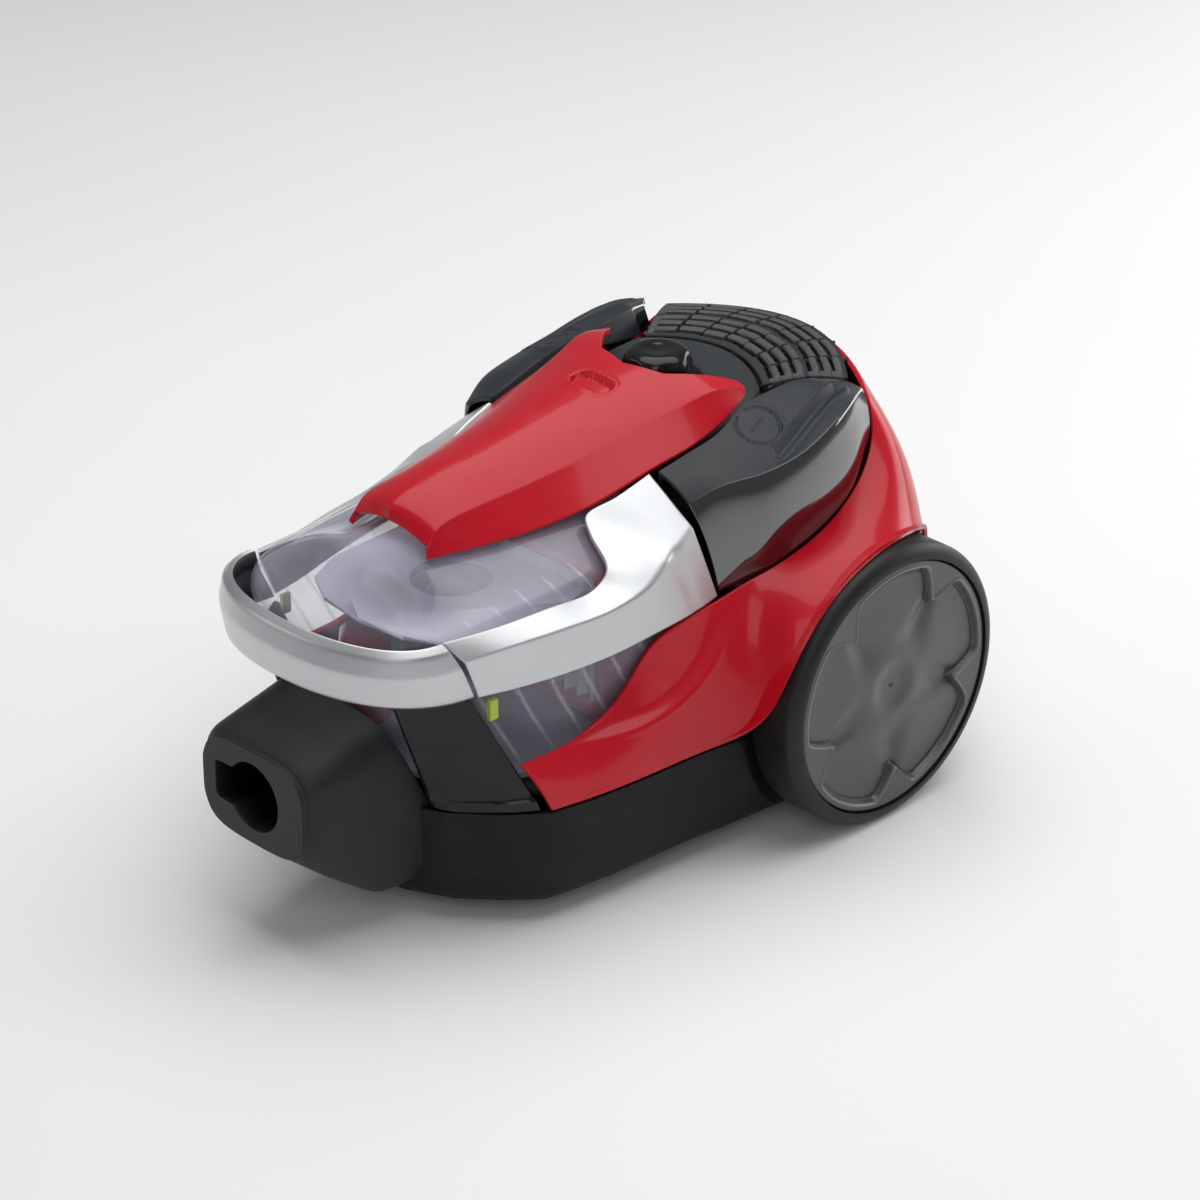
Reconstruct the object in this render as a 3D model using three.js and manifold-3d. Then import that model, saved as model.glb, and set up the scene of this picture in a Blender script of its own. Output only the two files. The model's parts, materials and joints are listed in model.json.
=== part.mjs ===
// Canister vacuum cleaner: bagless, two large rear wheels, swivelling front caster,
// lift-out clear dust case with a carrying handle, louvred exhaust grille, two pedals.
// Millimetres. +Z is up, the hose inlet faces -Y, +X is the right-hand side, the floor is z = 0.
import * as THREE from 'three';
import Module from 'manifold-3d';
import { mergeVertices } from 'three/addons/utils/BufferGeometryUtils.js';

const wasm = await Module();
wasm.setup();

// ---- overall sizes -------------------------------------------------------------------------
const LENGTH = 444;
const WIDTH = 290;
const HEIGHT = 245;
// the skin stations further down are written for this length, width and height
const DRAWN_LENGTH = 444;
const DRAWN_WIDTH = 290;
const DRAWN_HEIGHT = 245;

// ---- walls, gaps and slopes ----------------------------------------------------------------
const WALL = 2.6;
const GAP = 0.4;
const CASE_WALL = 2.2;
const LIFT_SLOPE = 32 / 70;
const LIFT_LEVEL = 178;

// ---- rear wheels ---------------------------------------------------------------------------
const WHEEL_RADIUS = 80;
const WHEEL_WIDTH = 31;
const WHEEL_Y = 102;
const ARCH_GAP = 3.4;
const TYRE_DEPTH = 8;
const WHEEL_FACETS = 28;
const AXLE_RADIUS = 6;
const WELL_WALL = 2.6;

// ---- front caster --------------------------------------------------------------------------
const CASTER_Y = -94;
const CASTER_RADIUS = 16;
const CASTER_WIDTH = 15;
const CASTER_TRAIL = 13;
const CASTER_STEM = 6;

// ---- hose inlet ----------------------------------------------------------------------------
const PORT_RADIUS = 19;
const PORT_Z = 86;
const SLOT_REACH = 29;
const SLOT_HALF_HEIGHT = 11;
const DUCT_END_Z = 104;

// ---- power knob ----------------------------------------------------------------------------
const KNOB_RADIUS = 20;
const KNOB_HEIGHT = 19;
const KNOB_Y = 66;

// ---- motor, cord reel and filters ----------------------------------------------------------
const MOTOR_LIFT = 18;
const MOTOR_RADIUS = 42;
const MOTOR_LENGTH = 62;
const FAN_RADIUS = 54;
const FAN_LENGTH = 30;
const FAN_FRONT_Y = 34;
const OUTLET_RADIUS = 24;
const OUTLET_X = 28;
const OUTLET_Z = 128;
const REEL_RADIUS = 66;
const REEL_WIDTH = 38;
const REEL_Y = 108;
const REEL_Z = 92;

// ---- materials -----------------------------------------------------------------------------
const paint = (hex, roughness, metalness = 0) =>
  new THREE.MeshStandardMaterial({ color: hex, roughness, metalness });
const RED = paint(0xb8101c, 0.3);
const SILVER = paint(0xc9cbcd, 0.32, 0.8);
const DECK_GREY = paint(0x34373a, 0.55);
const BLACK = paint(0x1c1d1e, 0.6);
const GLOSS_BLACK = paint(0x0c0d0e, 0.15);
const WHEEL_GREY = paint(0x55554f, 0.5);
const CLEAR = paint(0xb9bfd6, 0.08);
const PURPLE = paint(0x5a3a66, 0.3);
const DARK_RED = paint(0x8a1830, 0.3);
const PAPER = paint(0xe4e4de, 0.9);
const STEEL = paint(0xb4b6b8, 0.3, 1);
const RUBBER = paint(0x171717, 0.85);
const GREEN = paint(0x2f6a3c, 0.6);
const LIME = paint(0xb5cc1e, 0.4);

const group = new THREE.Group();

// ---- small helpers -------------------------------------------------------------------------
const v3 = (x, y, z) => new THREE.Vector3(x, y, z);
const sx = (x) => x * WIDTH / DRAWN_WIDTH;
const sy = (y) => y * LENGTH / DRAWN_LENGTH;
const sz = (z) => z * HEIGHT / DRAWN_HEIGHT;
const at = (x, y, z) => v3(sx(x), sy(y), sz(z));
const path = (...points) =>
  new THREE.CatmullRomCurve3(points, false, 'centripetal');
const mirrored = (p) => v3(-p.x, p.y, p.z);
// the dust case lifts up and forwards: `eta` is where a point would be at LIFT_LEVEL
const leaning = (x, eta, z) => v3(sx(x), sy(eta) - LIFT_SLOPE * (sz(z) - sz(LIFT_LEVEL)), sz(z));

function volume(geometry) {
  const p = geometry.attributes.position;
  const index = geometry.index;
  let sum = 0;
  for (let i = 0; i < index.count; i += 3) {
    const [a, b, c] = [0, 1, 2].map((k) => v3().fromBufferAttribute(p, index.getX(i + k)));
    sum += a.dot(b.cross(c));
  }
  return sum / 6;
}

function flipped(geometry) {
  const index = geometry.index;
  for (let i = 0; i < index.count; i += 3) {
    const a = index.getX(i);
    index.setX(i, index.getX(i + 1));
    index.setX(i + 1, a);
  }
  return geometry;
}

// welds equal corners and turns every face outwards
function closed(geometry) {
  geometry.deleteAttribute('normal');
  geometry.deleteAttribute('uv');
  const welded = mergeVertices(geometry, 1e-4);
  return volume(welded) < 0 ? flipped(welded) : welded;
}

function fromFaces(points, faces) {
  const geometry = new THREE.BufferGeometry();
  geometry.setAttribute('position', new THREE.Float32BufferAttribute(
    points.flatMap((p) => [p.x, p.y, p.z]), 3));
  geometry.setIndex(faces.flat());
  return closed(geometry);
}

const quad = (a, b, c, d) => [[a, b, c], [a, c, d]];

// a moulded skin of even wall: skin(u, v) is the outer face, the wall grows inwards
function skinSolid(columns, rows, skin, wall) {
  const outer = [];
  for (let i = 0; i <= columns; i += 1) {
    for (let j = 0; j <= rows; j += 1) outer.push(skin(i / columns, j / rows));
  }
  const id = (i, j) => i * (rows + 1) + j;
  const inner = [];
  for (let i = 0; i <= columns; i += 1) {
    for (let j = 0; j <= rows; j += 1) {
      const du = outer[id(Math.min(i + 1, columns), j)].clone()
        .sub(outer[id(Math.max(i - 1, 0), j)]);
      const dv = outer[id(i, Math.min(j + 1, rows))].clone()
        .sub(outer[id(i, Math.max(j - 1, 0))]);
      inner.push(outer[id(i, j)].clone().addScaledVector(du.cross(dv).normalize(), -wall));
    }
  }
  const n = outer.length;
  const faces = [];
  for (let i = 0; i < columns; i += 1) {
    for (let j = 0; j < rows; j += 1) {
      const [a, b, c, d] = [id(i, j), id(i + 1, j), id(i + 1, j + 1), id(i, j + 1)];
      faces.push(...quad(a, b, c, d), ...quad(n + a, n + d, n + c, n + b));
    }
    faces.push(...quad(id(i + 1, 0), id(i, 0), n + id(i, 0), n + id(i + 1, 0)));
    faces.push(...quad(id(i, rows), id(i + 1, rows), n + id(i + 1, rows), n + id(i, rows)));
  }
  for (let j = 0; j < rows; j += 1) {
    faces.push(...quad(id(0, j), id(0, j + 1), n + id(0, j + 1), n + id(0, j)));
    faces.push(...quad(id(columns, j + 1), id(columns, j),
      n + id(columns, j), n + id(columns, j + 1)));
  }
  return fromFaces([...outer, ...inner], faces);
}

// a solid carried through closed rings of equal point count, capped at both ends
function ringSolid(rings) {
  const count = rings[0].length;
  const points = rings.flat();
  const faces = [];
  for (let k = 0; k < rings.length - 1; k += 1) {
    for (let i = 0; i < count; i += 1) {
      const next = (i + 1) % count;
      faces.push(...quad(k * count + i, k * count + next,
        (k + 1) * count + next, (k + 1) * count + i));
    }
  }
  const cap = (ring, first, flip) => {
    const middle = ring.reduce((sum, p) => sum.add(p), v3(0, 0, 0)).divideScalar(count);
    points.push(middle);
    for (let i = 0; i < count; i += 1) {
      const pair = [first + i, first + (i + 1) % count];
      faces.push(flip ? [points.length - 1, pair[1], pair[0]] : [points.length - 1, ...pair]);
    }
  };
  cap(rings[0], 0, true);
  cap(rings[rings.length - 1], (rings.length - 1) * count, false);
  return fromFaces(points, faces);
}

// an open cup: outer rings from the rim to the closed end, then the inner rings back
function cupSolid(outerRings, innerRings) {
  return ringSolid([...outerRings].reverse().concat(innerRings));
}

function mirrorRing(half) {
  const left = half.slice(1, -1).reverse().map(mirrored);
  return [...half, ...left];
}

function lathe(profile, segments) {
  return closed(new THREE.LatheGeometry(profile.map(([r, s]) => new THREE.Vector2(r, s)), segments));
}
const loop = (profile) => [...profile, profile[0]];
const alongX = (geometry) => geometry.rotateZ(-Math.PI / 2);
const alongZ = (geometry) => geometry.rotateX(Math.PI / 2);

function rod(radius, length, segments = 16) {
  return lathe([[0, 0], [radius, 0], [radius, length], [0, length]], segments);
}
const rodX = (radius, x0, x1, y, z, segments) =>
  alongX(rod(radius, x1 - x0, segments)).translate(x0, y, z);
const rodZ = (radius, z0, z1, x, y, segments) =>
  alongZ(rod(radius, z1 - z0, segments)).translate(x, y, z0);
const rodY = (radius, y0, y1, x, z, segments) =>
  rod(radius, y1 - y0, segments).translate(x, y0, z);

function block(x0, x1, y0, y1, z0, z1) {
  const box = new THREE.BoxGeometry(x1 - x0, y1 - y0, z1 - z0);
  return closed(box.translate((x0 + x1) / 2, (y0 + y1) / 2, (z0 + z1) / 2));
}

function plate(points, z0, z1) {
  const shape = new THREE.Shape(points.map(([x, y]) => new THREE.Vector2(x, y)));
  const solid = new THREE.ExtrudeGeometry(shape, { depth: z1 - z0, bevelEnabled: false });
  return closed(solid.translate(0, 0, z0));
}

function toManifold(geometry) {
  const clean = closed(geometry.clone());
  return new wasm.Manifold(new wasm.Mesh({
    numProp: 3,
    vertProperties: new Float32Array(clean.attributes.position.array),
    triVerts: new Uint32Array(clean.index.array),
  }));
}

function fromManifold(solid) {
  const mesh = solid.getMesh();
  const geometry = new THREE.BufferGeometry();
  geometry.setAttribute('position', new THREE.BufferAttribute(mesh.vertProperties, 3));
  geometry.setIndex(new THREE.BufferAttribute(mesh.triVerts, 1));
  return closed(geometry);
}
const join = (first, ...rest) =>
  fromManifold(rest.reduce((sum, g) => sum.add(toManifold(g)), toManifold(first)));
const cut = (first, ...tools) =>
  fromManifold(tools.reduce((sum, g) => sum.subtract(toManifold(g)), toManifold(first)));
const overlap = (first, second) =>
  fromManifold(toManifold(first).intersect(toManifold(second)));

function add(name, geometry, material) {
  const mesh = new THREE.Mesh(geometry, material);
  mesh.name = name;
  group.add(mesh);
}
const mirrorX = (geometry) => flipped(geometry.clone().scale(-1, 1, 1));

function addPair(name, geometry, material) {
  add(`${name}_right`, geometry, material);
  add(`${name}_left`, mirrorX(geometry), material);
}

// ---- derived levels ------------------------------------------------------------------------
const AXLE_Z = WHEEL_RADIUS;
const AXLE_Y = sy(WHEEL_Y);
const ARCH_RADIUS = WHEEL_RADIUS + ARCH_GAP;
const ARCH_TOP = AXLE_Z + ARCH_RADIUS;
const FACE_X = WIDTH / 2;
const WHEEL_INNER_X = FACE_X - WHEEL_WIDTH;
const WELL_X = WHEEL_INNER_X - 5;
const FLOOR_Z = 12;
const MOTOR_X = WELL_X - 75;
const MOTOR_Z = FLOOR_Z + MOTOR_LIFT + FAN_RADIUS;
const BOSS_LENGTH = 20;
// the reel stands inside the wheel boss, and inside the body where it narrows behind the wheels
const REEL_OUTER_X = Math.min(WELL_X - BOSS_LENGTH - 2, sx(87));
const REEL_X = -(REEL_OUTER_X - REEL_WIDTH / 2);
const SILL_Z = 72;
const TUB_TOP_Z = SILL_Z - 1.8;

// ---- plan of the sill, right-hand half, front to rear ---------------------------------------
const SILL = [
  [0, -163], [32, -159], [60, -145], [82, -126], [98, -107], [103, -85], [106, -62],
  [107.5, -45], [108.5, -30], [110, -8], [113, 12], [118, 60], [119, 100], [116, 140],
  [104, 173], [86, 195], [62, 210], [32, 219], [0, 222],
];
const sillPath = path(...SILL.map(([x, y]) => at(x, y, 0)));

function sillRing(z, inset) {
  const ring = mirrorRing(Array.from({ length: 19 }, (_, i) => sillPath.getPoint(i / 18)));
  return ring.map((p, i) => {
    const before = ring[(i + ring.length - 1) % ring.length];
    const after = ring[(i + 1) % ring.length];
    const out = v3(after.y - before.y, before.x - after.x, 0).normalize();
    return v3(p.x - out.x * inset, p.y - out.y * inset, sz(z));
  });
}

// ---- hose inlet housing --------------------------------------------------------------------
// rounded box section at y: half-width, bottom, top, corner exponent
function noseRing(y, half, bottom, top, grow, exponent = 4) {
  const count = 22;
  return Array.from({ length: count }, (_, i) => {
    const angle = 2 * Math.PI * (i + 0.5) / count;
    const c = Math.cos(angle);
    const s = Math.sin(angle);
    const k = (Math.abs(c) ** exponent + Math.abs(s) ** exponent) ** (-1 / exponent);
    return v3((sx(half) + grow) * k * c, sy(y),
      sz((top + bottom) / 2) + (sz((top - bottom) / 2) + grow) * k * s);
  });
}

function noseBody(grow) {
  return ringSolid([
    noseRing(-222, 36, 62, 110, grow),
    noseRing(-219.5, 40, 58, 113, grow),
    noseRing(-214, 43, 53, 115.5, grow),
    noseRing(-195, 45, 37, 120, grow),
    noseRing(-168, 47, 17, 126.5, grow),
    noseRing(-140 + grow, 47.5, 16.2, 127, grow),
  ]);
}

// everything behind the leaning plane at eta, from the floor up
function behindPlane(eta) {
  const far = sy(60);
  const side = sx(120);
  const [low, high] = [leaning(0, eta, 5), leaning(0, eta, 215)];
  return ringSolid([
    [v3(-side, low.y, low.z), v3(side, low.y, low.z), v3(side, far, low.z), v3(-side, far, low.z)],
    [v3(-side, high.y, high.z), v3(side, high.y, high.z), v3(side, far, high.z),
      v3(-side, far, high.z)],
  ]);
}

const NOSE_REAR_ETA = -194.5;
const DUCT_START = v3(0, sy(-228), sz(PORT_Z) - 2);
const DUCT_END = v3(0, sy(-146), sz(DUCT_END_Z) + 2);

function ductBore(radius) {
  const run = DUCT_END.clone().sub(DUCT_START);
  const tube = rod(radius, run.length(), 24);
  tube.applyQuaternion(new THREE.Quaternion().setFromUnitVectors(v3(0, 1, 0), run.normalize()));
  return tube.translate(DUCT_START.x, DUCT_START.y, DUCT_START.z);
}

function noseHousing() {
  const keyway = block(-SLOT_REACH, 0, sy(-230), sy(-192), sz(PORT_Z) - SLOT_HALF_HEIGHT + 2,
    sz(PORT_Z) + SLOT_HALF_HEIGHT + 2);
  return cut(noseBody(0), behindPlane(NOSE_REAR_ETA), ductBore(PORT_RADIUS), keyway);
}
add('hose_inlet_housing', noseHousing(), DECK_GREY);

function inletSeal() {
  const ring = lathe(loop([[PORT_RADIUS + 1, 0], [PORT_RADIUS + 6, 0],
    [PORT_RADIUS + 6, 2.6], [PORT_RADIUS + 1, 2.6]]), 24);
  const normal = v3(0, 1, LIFT_SLOPE).normalize();
  ring.applyQuaternion(new THREE.Quaternion().setFromUnitVectors(v3(0, 1, 0), normal));
  const seat = leaning(0, NOSE_REAR_ETA, DUCT_END_Z - 1).addScaledVector(normal, 0.3);
  return ring.translate(seat.x, seat.y, seat.z);
}
add('inlet_seal', inletSeal(), RUBBER);

// ---- lower chassis -------------------------------------------------------------------------
function chassisHull() {
  return ringSolid([sillRing(FLOOR_Z, 12), sillRing(18, 7), sillRing(40, 2.5),
    sillRing(TUB_TOP_Z, 0)]);
}

function chassisTub() {
  return cupSolid(
    [sillRing(TUB_TOP_Z, 0), sillRing(40, 2.5), sillRing(18, 7), sillRing(FLOOR_Z, 12)],
    [sillRing(TUB_TOP_Z, WALL), sillRing(40, 2.5 + WALL), sillRing(20, 7 + WALL),
      sillRing(FLOOR_Z + 3, 14)],
  );
}

const SCREW_HEAD = 4.5;
const SCREWS = [[76, -58], [-76, -58], [50, 186], [-50, 186]];
const CASTER_TOP = 52;
const CASTER_ROOM = CASTER_TRAIL + CASTER_RADIUS + 6;

function chassis() {
  const hull = chassisHull();
  const wellSide = (side) => {
    const [a, b] = side > 0 ? [WELL_X - WELL_WALL, WELL_X] : [-WELL_X, -WELL_X + WELL_WALL];
    const outer = side > 0 ? [WELL_X - WELL_WALL, FACE_X] : [-FACE_X, -WELL_X + WELL_WALL];
    return {
      drum: overlap(rodX(ARCH_RADIUS + WALL, ...outer, AXLE_Y, AXLE_Z, 28), hull),
      web: overlap(rodX(WHEEL_RADIUS, a, b, AXLE_Y, AXLE_Z, 28),
        block(a - 1, b + 1, sy(-20), sy(154.8), sz(FLOOR_Z) + 1, 400)),
      boss: side > 0 ? rodX(12, WELL_X - BOSS_LENGTH, WELL_X - 1, AXLE_Y, AXLE_Z, 20)
        : rodX(12, -WELL_X + 1, -WELL_X + BOSS_LENGTH, AXLE_Y, AXLE_Z, 20),
      hollow: side > 0 ? rodX(ARCH_RADIUS, WELL_X, FACE_X + 5, AXLE_Y, AXLE_Z, 28)
        : rodX(ARCH_RADIUS, -FACE_X - 5, -WELL_X, AXLE_Y, AXLE_Z, 28),
    };
  };
  const right = wellSide(1);
  const left = wellSide(-1);
  const casterY = sy(CASTER_Y);
  const cup = rodZ(CASTER_ROOM + WALL, sz(FLOOR_Z) + 0.5, CASTER_TOP + WALL, 0, casterY, 24);
  const boss = rodZ(CASTER_STEM + 4, CASTER_TOP, CASTER_TOP + 13, 0, casterY, 20);
  const towers = SCREWS.map(([x, y]) =>
    rodZ(SCREW_HEAD + 2, sz(FLOOR_Z) + 1, sz(FLOOR_Z) + 14, sx(x), sy(y), 12));
  const sinks = SCREWS.flatMap(([x, y]) => [
    rodZ(SCREW_HEAD, 0, sz(FLOOR_Z) + 7.5, sx(x), sy(y), 12),
    rodZ(2.2, sz(FLOOR_Z) + 6, sz(FLOOR_Z) + 20, sx(x), sy(y), 8),
  ]);
  const body = join(chassisTub(), ...towers, right.drum, right.web, right.boss, left.drum, left.web,
    left.boss, cup, boss);
  return cut(body, right.hollow, left.hollow,
    rodX(AXLE_RADIUS + GAP, -WELL_X - 5, WELL_X + 5, AXLE_Y, AXLE_Z, 16),
    rodZ(CASTER_ROOM, 0, CASTER_TOP, 0, casterY, 24),
    rodZ(CASTER_STEM + GAP, 20, CASTER_TOP + 20, 0, casterY, 16),
    noseBody(GAP), ...sinks);
}
add('lower_chassis', chassis(), BLACK);

function chassisScrew(x, y) {
  return join(rodZ(SCREW_HEAD - 0.5, sz(FLOOR_Z) + 4, sz(FLOOR_Z) + 7, sx(x), sy(y), 10),
    rodZ(1.7, sz(FLOOR_Z) + 6.5, sz(FLOOR_Z) + 24, sx(x), sy(y), 8));
}
SCREWS.forEach(([x, y], i) => add(`chassis_screw_${i + 1}`, chassisScrew(x, y), STEEL));


// ---- red body shell ------------------------------------------------------------------------
// a point on the wheel arch: angle from the front of the wheel, distance from the centre plane
function archPoint(degrees, x) {
  const a = degrees * Math.PI / 180;
  return v3(sx(x), AXLE_Y - ARCH_RADIUS * Math.cos(a), AXLE_Z + ARCH_RADIUS * Math.sin(a));
}
const overArch = (x, y, rise) => v3(sx(x), sy(y), ARCH_TOP + rise);
// a point outside the arch by `out`, and one ahead of the arch's front by `ahead`
const aroundArch = (degrees, x, out) => {
  const a = degrees * Math.PI / 180;
  return v3(sx(x), AXLE_Y - (ARCH_RADIUS + out) * Math.cos(a),
    AXLE_Z + (ARCH_RADIUS + out) * Math.sin(a));
};
const beforeArch = (x, ahead, z) => v3(sx(x), AXLE_Y - ARCH_RADIUS - ahead, sz(z));

// stations front to rear: lower edge, belly (pulls the skin outwards) and upper edge
const BODY_STATIONS = [
  [at(98, -107, 72), at(98, -114, 88), at(91, -121, 102)],
  [at(103, -85, 72), at(101, -87, 88), at(91, -89, 100.5)],
  [at(106, -62, 72), at(106, -62, 95), at(92, -62, 106)],
  [at(107.5, -45, 72), at(108, -45, 105), at(92.5, -45, 121)],
  [at(108.5, -30, 72), at(110, -32, 112), at(95, -34, 140)],
  [beforeArch(110, 26.6, 72), at(113, -8, 112), at(98, -10, 145.6)],
  [beforeArch(113, 8.6, 72), beforeArch(116, 6.6, 115), at(97, 17, 147.6)],
  [archPoint(4, 129), aroundArch(26.3, 125, 2.5), aroundArch(45.8, 100, 18.4)],
  [archPoint(22, 137), aroundArch(40.7, 130, 11.6), aroundArch(52.7, 103, 12.2)],
  [archPoint(50, 138), overArch(127, 52, -5), overArch(104, 62, -4)],
  [archPoint(80, 137), overArch(122, 88, 4), overArch(103, 87, 1)],
  [archPoint(108, 131), overArch(118, 120, 10), overArch(98, 117, 13)],
  [archPoint(125, 118.5), overArch(113, 140, 18), overArch(91, 136, 28)],
  [archPoint(134, 110), overArch(107, 153, 20), overArch(85, 143, 42)],
  [at(104, 169, 100), overArch(100, 171, 15), overArch(78, 147, 51)],
  [at(90, 191, 72), overArch(86, 188, -5), at(67, 154, 218.5)],
  [at(68, 206.5, 72), at(66, 204, 150), at(51, 163, 220.5)],
  [at(38, 217, 72), at(40, 217, 150), at(31, 172, 222)],
  [at(0, 222, 72), at(0, 222, 150), at(0, 178, 222)],
];
const FIRST_ARCH = 7;
const LAST_ARCH = 12;
const bodyEdge = [0, 1, 2].map((k) => path(...BODY_STATIONS.map((station) => station[k])));
const BODY_COLUMNS = 23;
const BODY_ROWS = 5;
const flangePath = path(...BODY_STATIONS.map(([low], i) => {
  const onArch = i >= FIRST_ARCH && i <= LAST_ARCH;
  return onArch ? v3(WELL_X + 1, low.y, low.z) : low.clone().multiply(v3(0.96, 0.985, 1));
}));

function bend(low, pull, high, t) {
  return low.clone().multiplyScalar((1 - t) ** 2)
    .addScaledVector(pull, 2 * t * (1 - t)).addScaledVector(high, t * t);
}

function bodySkin(u, v) {
  const along = u < 0.5 ? 2 * u : 2 - 2 * u;
  const row = v * BODY_ROWS - 1;
  const p = row < 0 ? flangePath.getPoint(along)
    : bend(...bodyEdge.map((edge) => edge.getPoint(along)), row / (BODY_ROWS - 1));
  return u < 0.5 ? p : mirrored(p);
}

const CORD_X = -38;
const CORD_Z = 112;

function bodyShell() {
  const shell = skinSolid(2 * BODY_COLUMNS, BODY_ROWS, bodySkin, WALL);
  return cut(shell, rodY(11, sy(190), sy(240), sx(CORD_X), sz(CORD_Z), 20));
}
add('body_shell', bodyShell(), RED);

// ---- front hoop and its two pillars --------------------------------------------------------
// inner upper edge of the hoop in plan, at LIFT_LEVEL: 0 = right end, 1 = left end
const HOOP_HALF = 70;
const HOOP_FRONT = -196;
const PARTING_ETA = -157;

function hoopPlan(t, outwards) {
  const angle = Math.PI * (t - 0.5);
  const power = 0.9;
  const soft = (value) => Math.sign(value) * Math.abs(value) ** power;
  const half = HOOP_HALF + outwards;
  const reach = PARTING_ETA - HOOP_FRONT + outwards;
  return [-half * soft(Math.sin(angle)), PARTING_ETA - reach * soft(Math.cos(angle))];
}

// section of the hoop: distance outwards from its inner edge, level at the middle, at the ends
const HOOP_SECTION = [
  [0, 178, 176], [2, 179.5, 177], [6, 176, 173.5], [9.5, 165, 162], [8.5, 150, 144],
  [5.5, 147.5, 141], [4.5, 152, 147], [5.5, 165, 162],
];

function frontHoop() {
  const steps = 20;
  const rings = Array.from({ length: steps + 1 }, (_, i) => {
    const t = i / steps;
    const ends = Math.abs(2 * t - 1) ** 2;
    return HOOP_SECTION.map(([outwards, middle, end]) => {
      const [x, eta] = hoopPlan(t, outwards);
      const z = middle + (end - middle) * ends;
      return leaning(x, eta + LIFT_SLOPE * (z - LIFT_LEVEL) * (1 - ends), z);
    });
  });
  return ringSolid(rings);
}
add('front_hoop', frontHoop(), SILVER);

// leaning post between the sill and the hoop; its rear face lies on the parting plane
function pillar() {
  const rear = PARTING_ETA - 0.8;
  const section = (corners) => corners.map(([x, eta, z]) => leaning(x, eta, z));
  const foot = (z) => section([[70.5, rear, z], [96, rear, z], [86, -172, z], [66, -192, z],
    [52, -198, z], [50.5, -187, z], [61, -176, z]]);
  const head = section([[70.5, rear, 140], [75.5, rear, 139.5], [69, -168, 140], [58, -180, 141.5],
    [49, -188, 144], [45.5, -186.5, 144], [61, -174.5, 141]]);
  return ringSolid([foot(SILL_Z + 0.5), foot(SILL_Z + 7), head]);
}
addPair('front_pillar', pillar(), GLOSS_BLACK);

// ---- floor of the dust case bay and bulkhead behind it -------------------------------------
function caseCradle() {
  const half = [[0, -137], [40, -134], [66, -110], [84, -103], [92, -88], [96, -60], [98, -20],
    [100, 8]].map(([x, y]) => [sx(x), sy(y)]);
  const outline = [...half, ...half.slice(1).reverse().map(([x, y]) => [-x, y])];
  return plate(outline, sz(SILL_Z) + 1, sz(SILL_Z) + 3.6);
}
add('case_bay_floor', caseCradle(), BLACK);

const BULKHEAD_Y = 14;
function bulkhead() {
  const half = [[96, 20], [98, 78], [86, 146], [68, 160], [66, 186]];
  const outline = [...half, ...[...half].reverse().map(([x, z]) => [-x, z])];
  const wall = plate(outline.map(([x, z]) => [sx(x), sz(z)]), 0, 3).rotateX(Math.PI / 2);
  return cut(wall.translate(0, sy(BULKHEAD_Y) + 3, 0),
    rodY(OUTLET_RADIUS + 4, sy(0), sy(40), OUTLET_X, sz(OUTLET_Z), 24));
}
add('motor_bulkhead', bulkhead(), BLACK);

// ---- dust case -----------------------------------------------------------------------------
// rings of the clear case, right half, front centre to rear centre; the front leans with the lift
function caseRing(z, side, rearY) {
  const front = [[0, -190], [30, -187.5], [50, -180], [62, -169], [67.5, -158]];
  const points = front.map(([x, eta]) => leaning(x, eta, z));
  side.forEach(([x, y]) => points.push(at(x, y, z)));
  points.push(at(side[side.length - 1][0] - 8, rearY, z), at(40, rearY, z), at(0, rearY, z));
  return points;
}
const CASE_SIDE_LOW = [[80, -90], [85, -60], [87, -25], [86, -6]];
const CASE_SIDE_HIGH = [[81, -110], [89, -60], [91.5, -25], [90, -6]];
const CASE_RINGS = [
  caseRing(83, CASE_SIDE_LOW, 6),
  caseRing(120, [[79, -100], [87, -60], [89, -25], [88, -6]], 6),
  caseRing(145, CASE_SIDE_HIGH, 5),
  caseRing(170, [[72, -120], [76, -60], [79, -25], [81, -8]], 3),
  [at(0, -154, 199), at(30, -152.5, 197), at(49, -153, 188), at(60, -157, 180), at(65.5, -152, 176),
    at(69, -115, 177.5), at(71.5, -60, 179), at(69.5, -32, 181), at(60, -14, 187), at(48, -4, 194),
    at(30, -1, 196), at(0, -1, 196)],
  [at(0, -138, 199.5), at(15, -136, 198.5), at(24, -131, 196), at(29, -119, 194.5),
    at(33, -105, 194), at(38, -85, 194), at(42, -62, 196), at(43, -42, 198), at(42, -22, 199),
    at(36, -9, 199), at(22, -6, 199), at(0, -6, 199)],
];

function caseOutline(ring) {
  const half = path(...ring);
  return mirrorRing(Array.from({ length: 17 }, (_, i) => half.getPoint(i / 16)));
}

function shrunk(ring, wall, drop) {
  return ring.map((p, i) => {
    const before = ring[(i + ring.length - 1) % ring.length];
    const after = ring[(i + 1) % ring.length];
    const out = v3(after.y - before.y, before.x - after.x, 0).normalize();
    return v3(p.x - out.x * wall, p.y - out.y * wall, p.z - drop);
  });
}

function caseShell() {
  const outer = CASE_RINGS.map(caseOutline);
  const drops = [0, 0, 0, 0.4, CASE_WALL, CASE_WALL];
  const inner = outer.map((ring, k) => shrunk(ring, CASE_WALL, drops[k]));
  return cut(cupSolid(outer, inner), ductBore(PORT_RADIUS - 1.5),
    rodY(OUTLET_RADIUS, sy(-4), sy(12), OUTLET_X, sz(OUTLET_Z), 24));
}
add('dust_case_shell', caseShell(), CLEAR);

function caseDoor() {
  const ring = caseOutline(CASE_RINGS[0]);
  const flat = (z) => shrunk(ring, 0.3, 0).map((p) => v3(p.x, p.y, z));
  return ringSolid([flat(sz(83) - 3.4), flat(sz(83) - 0.5)]);
}
add('case_bottom_door', caseDoor(), CLEAR);

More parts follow.
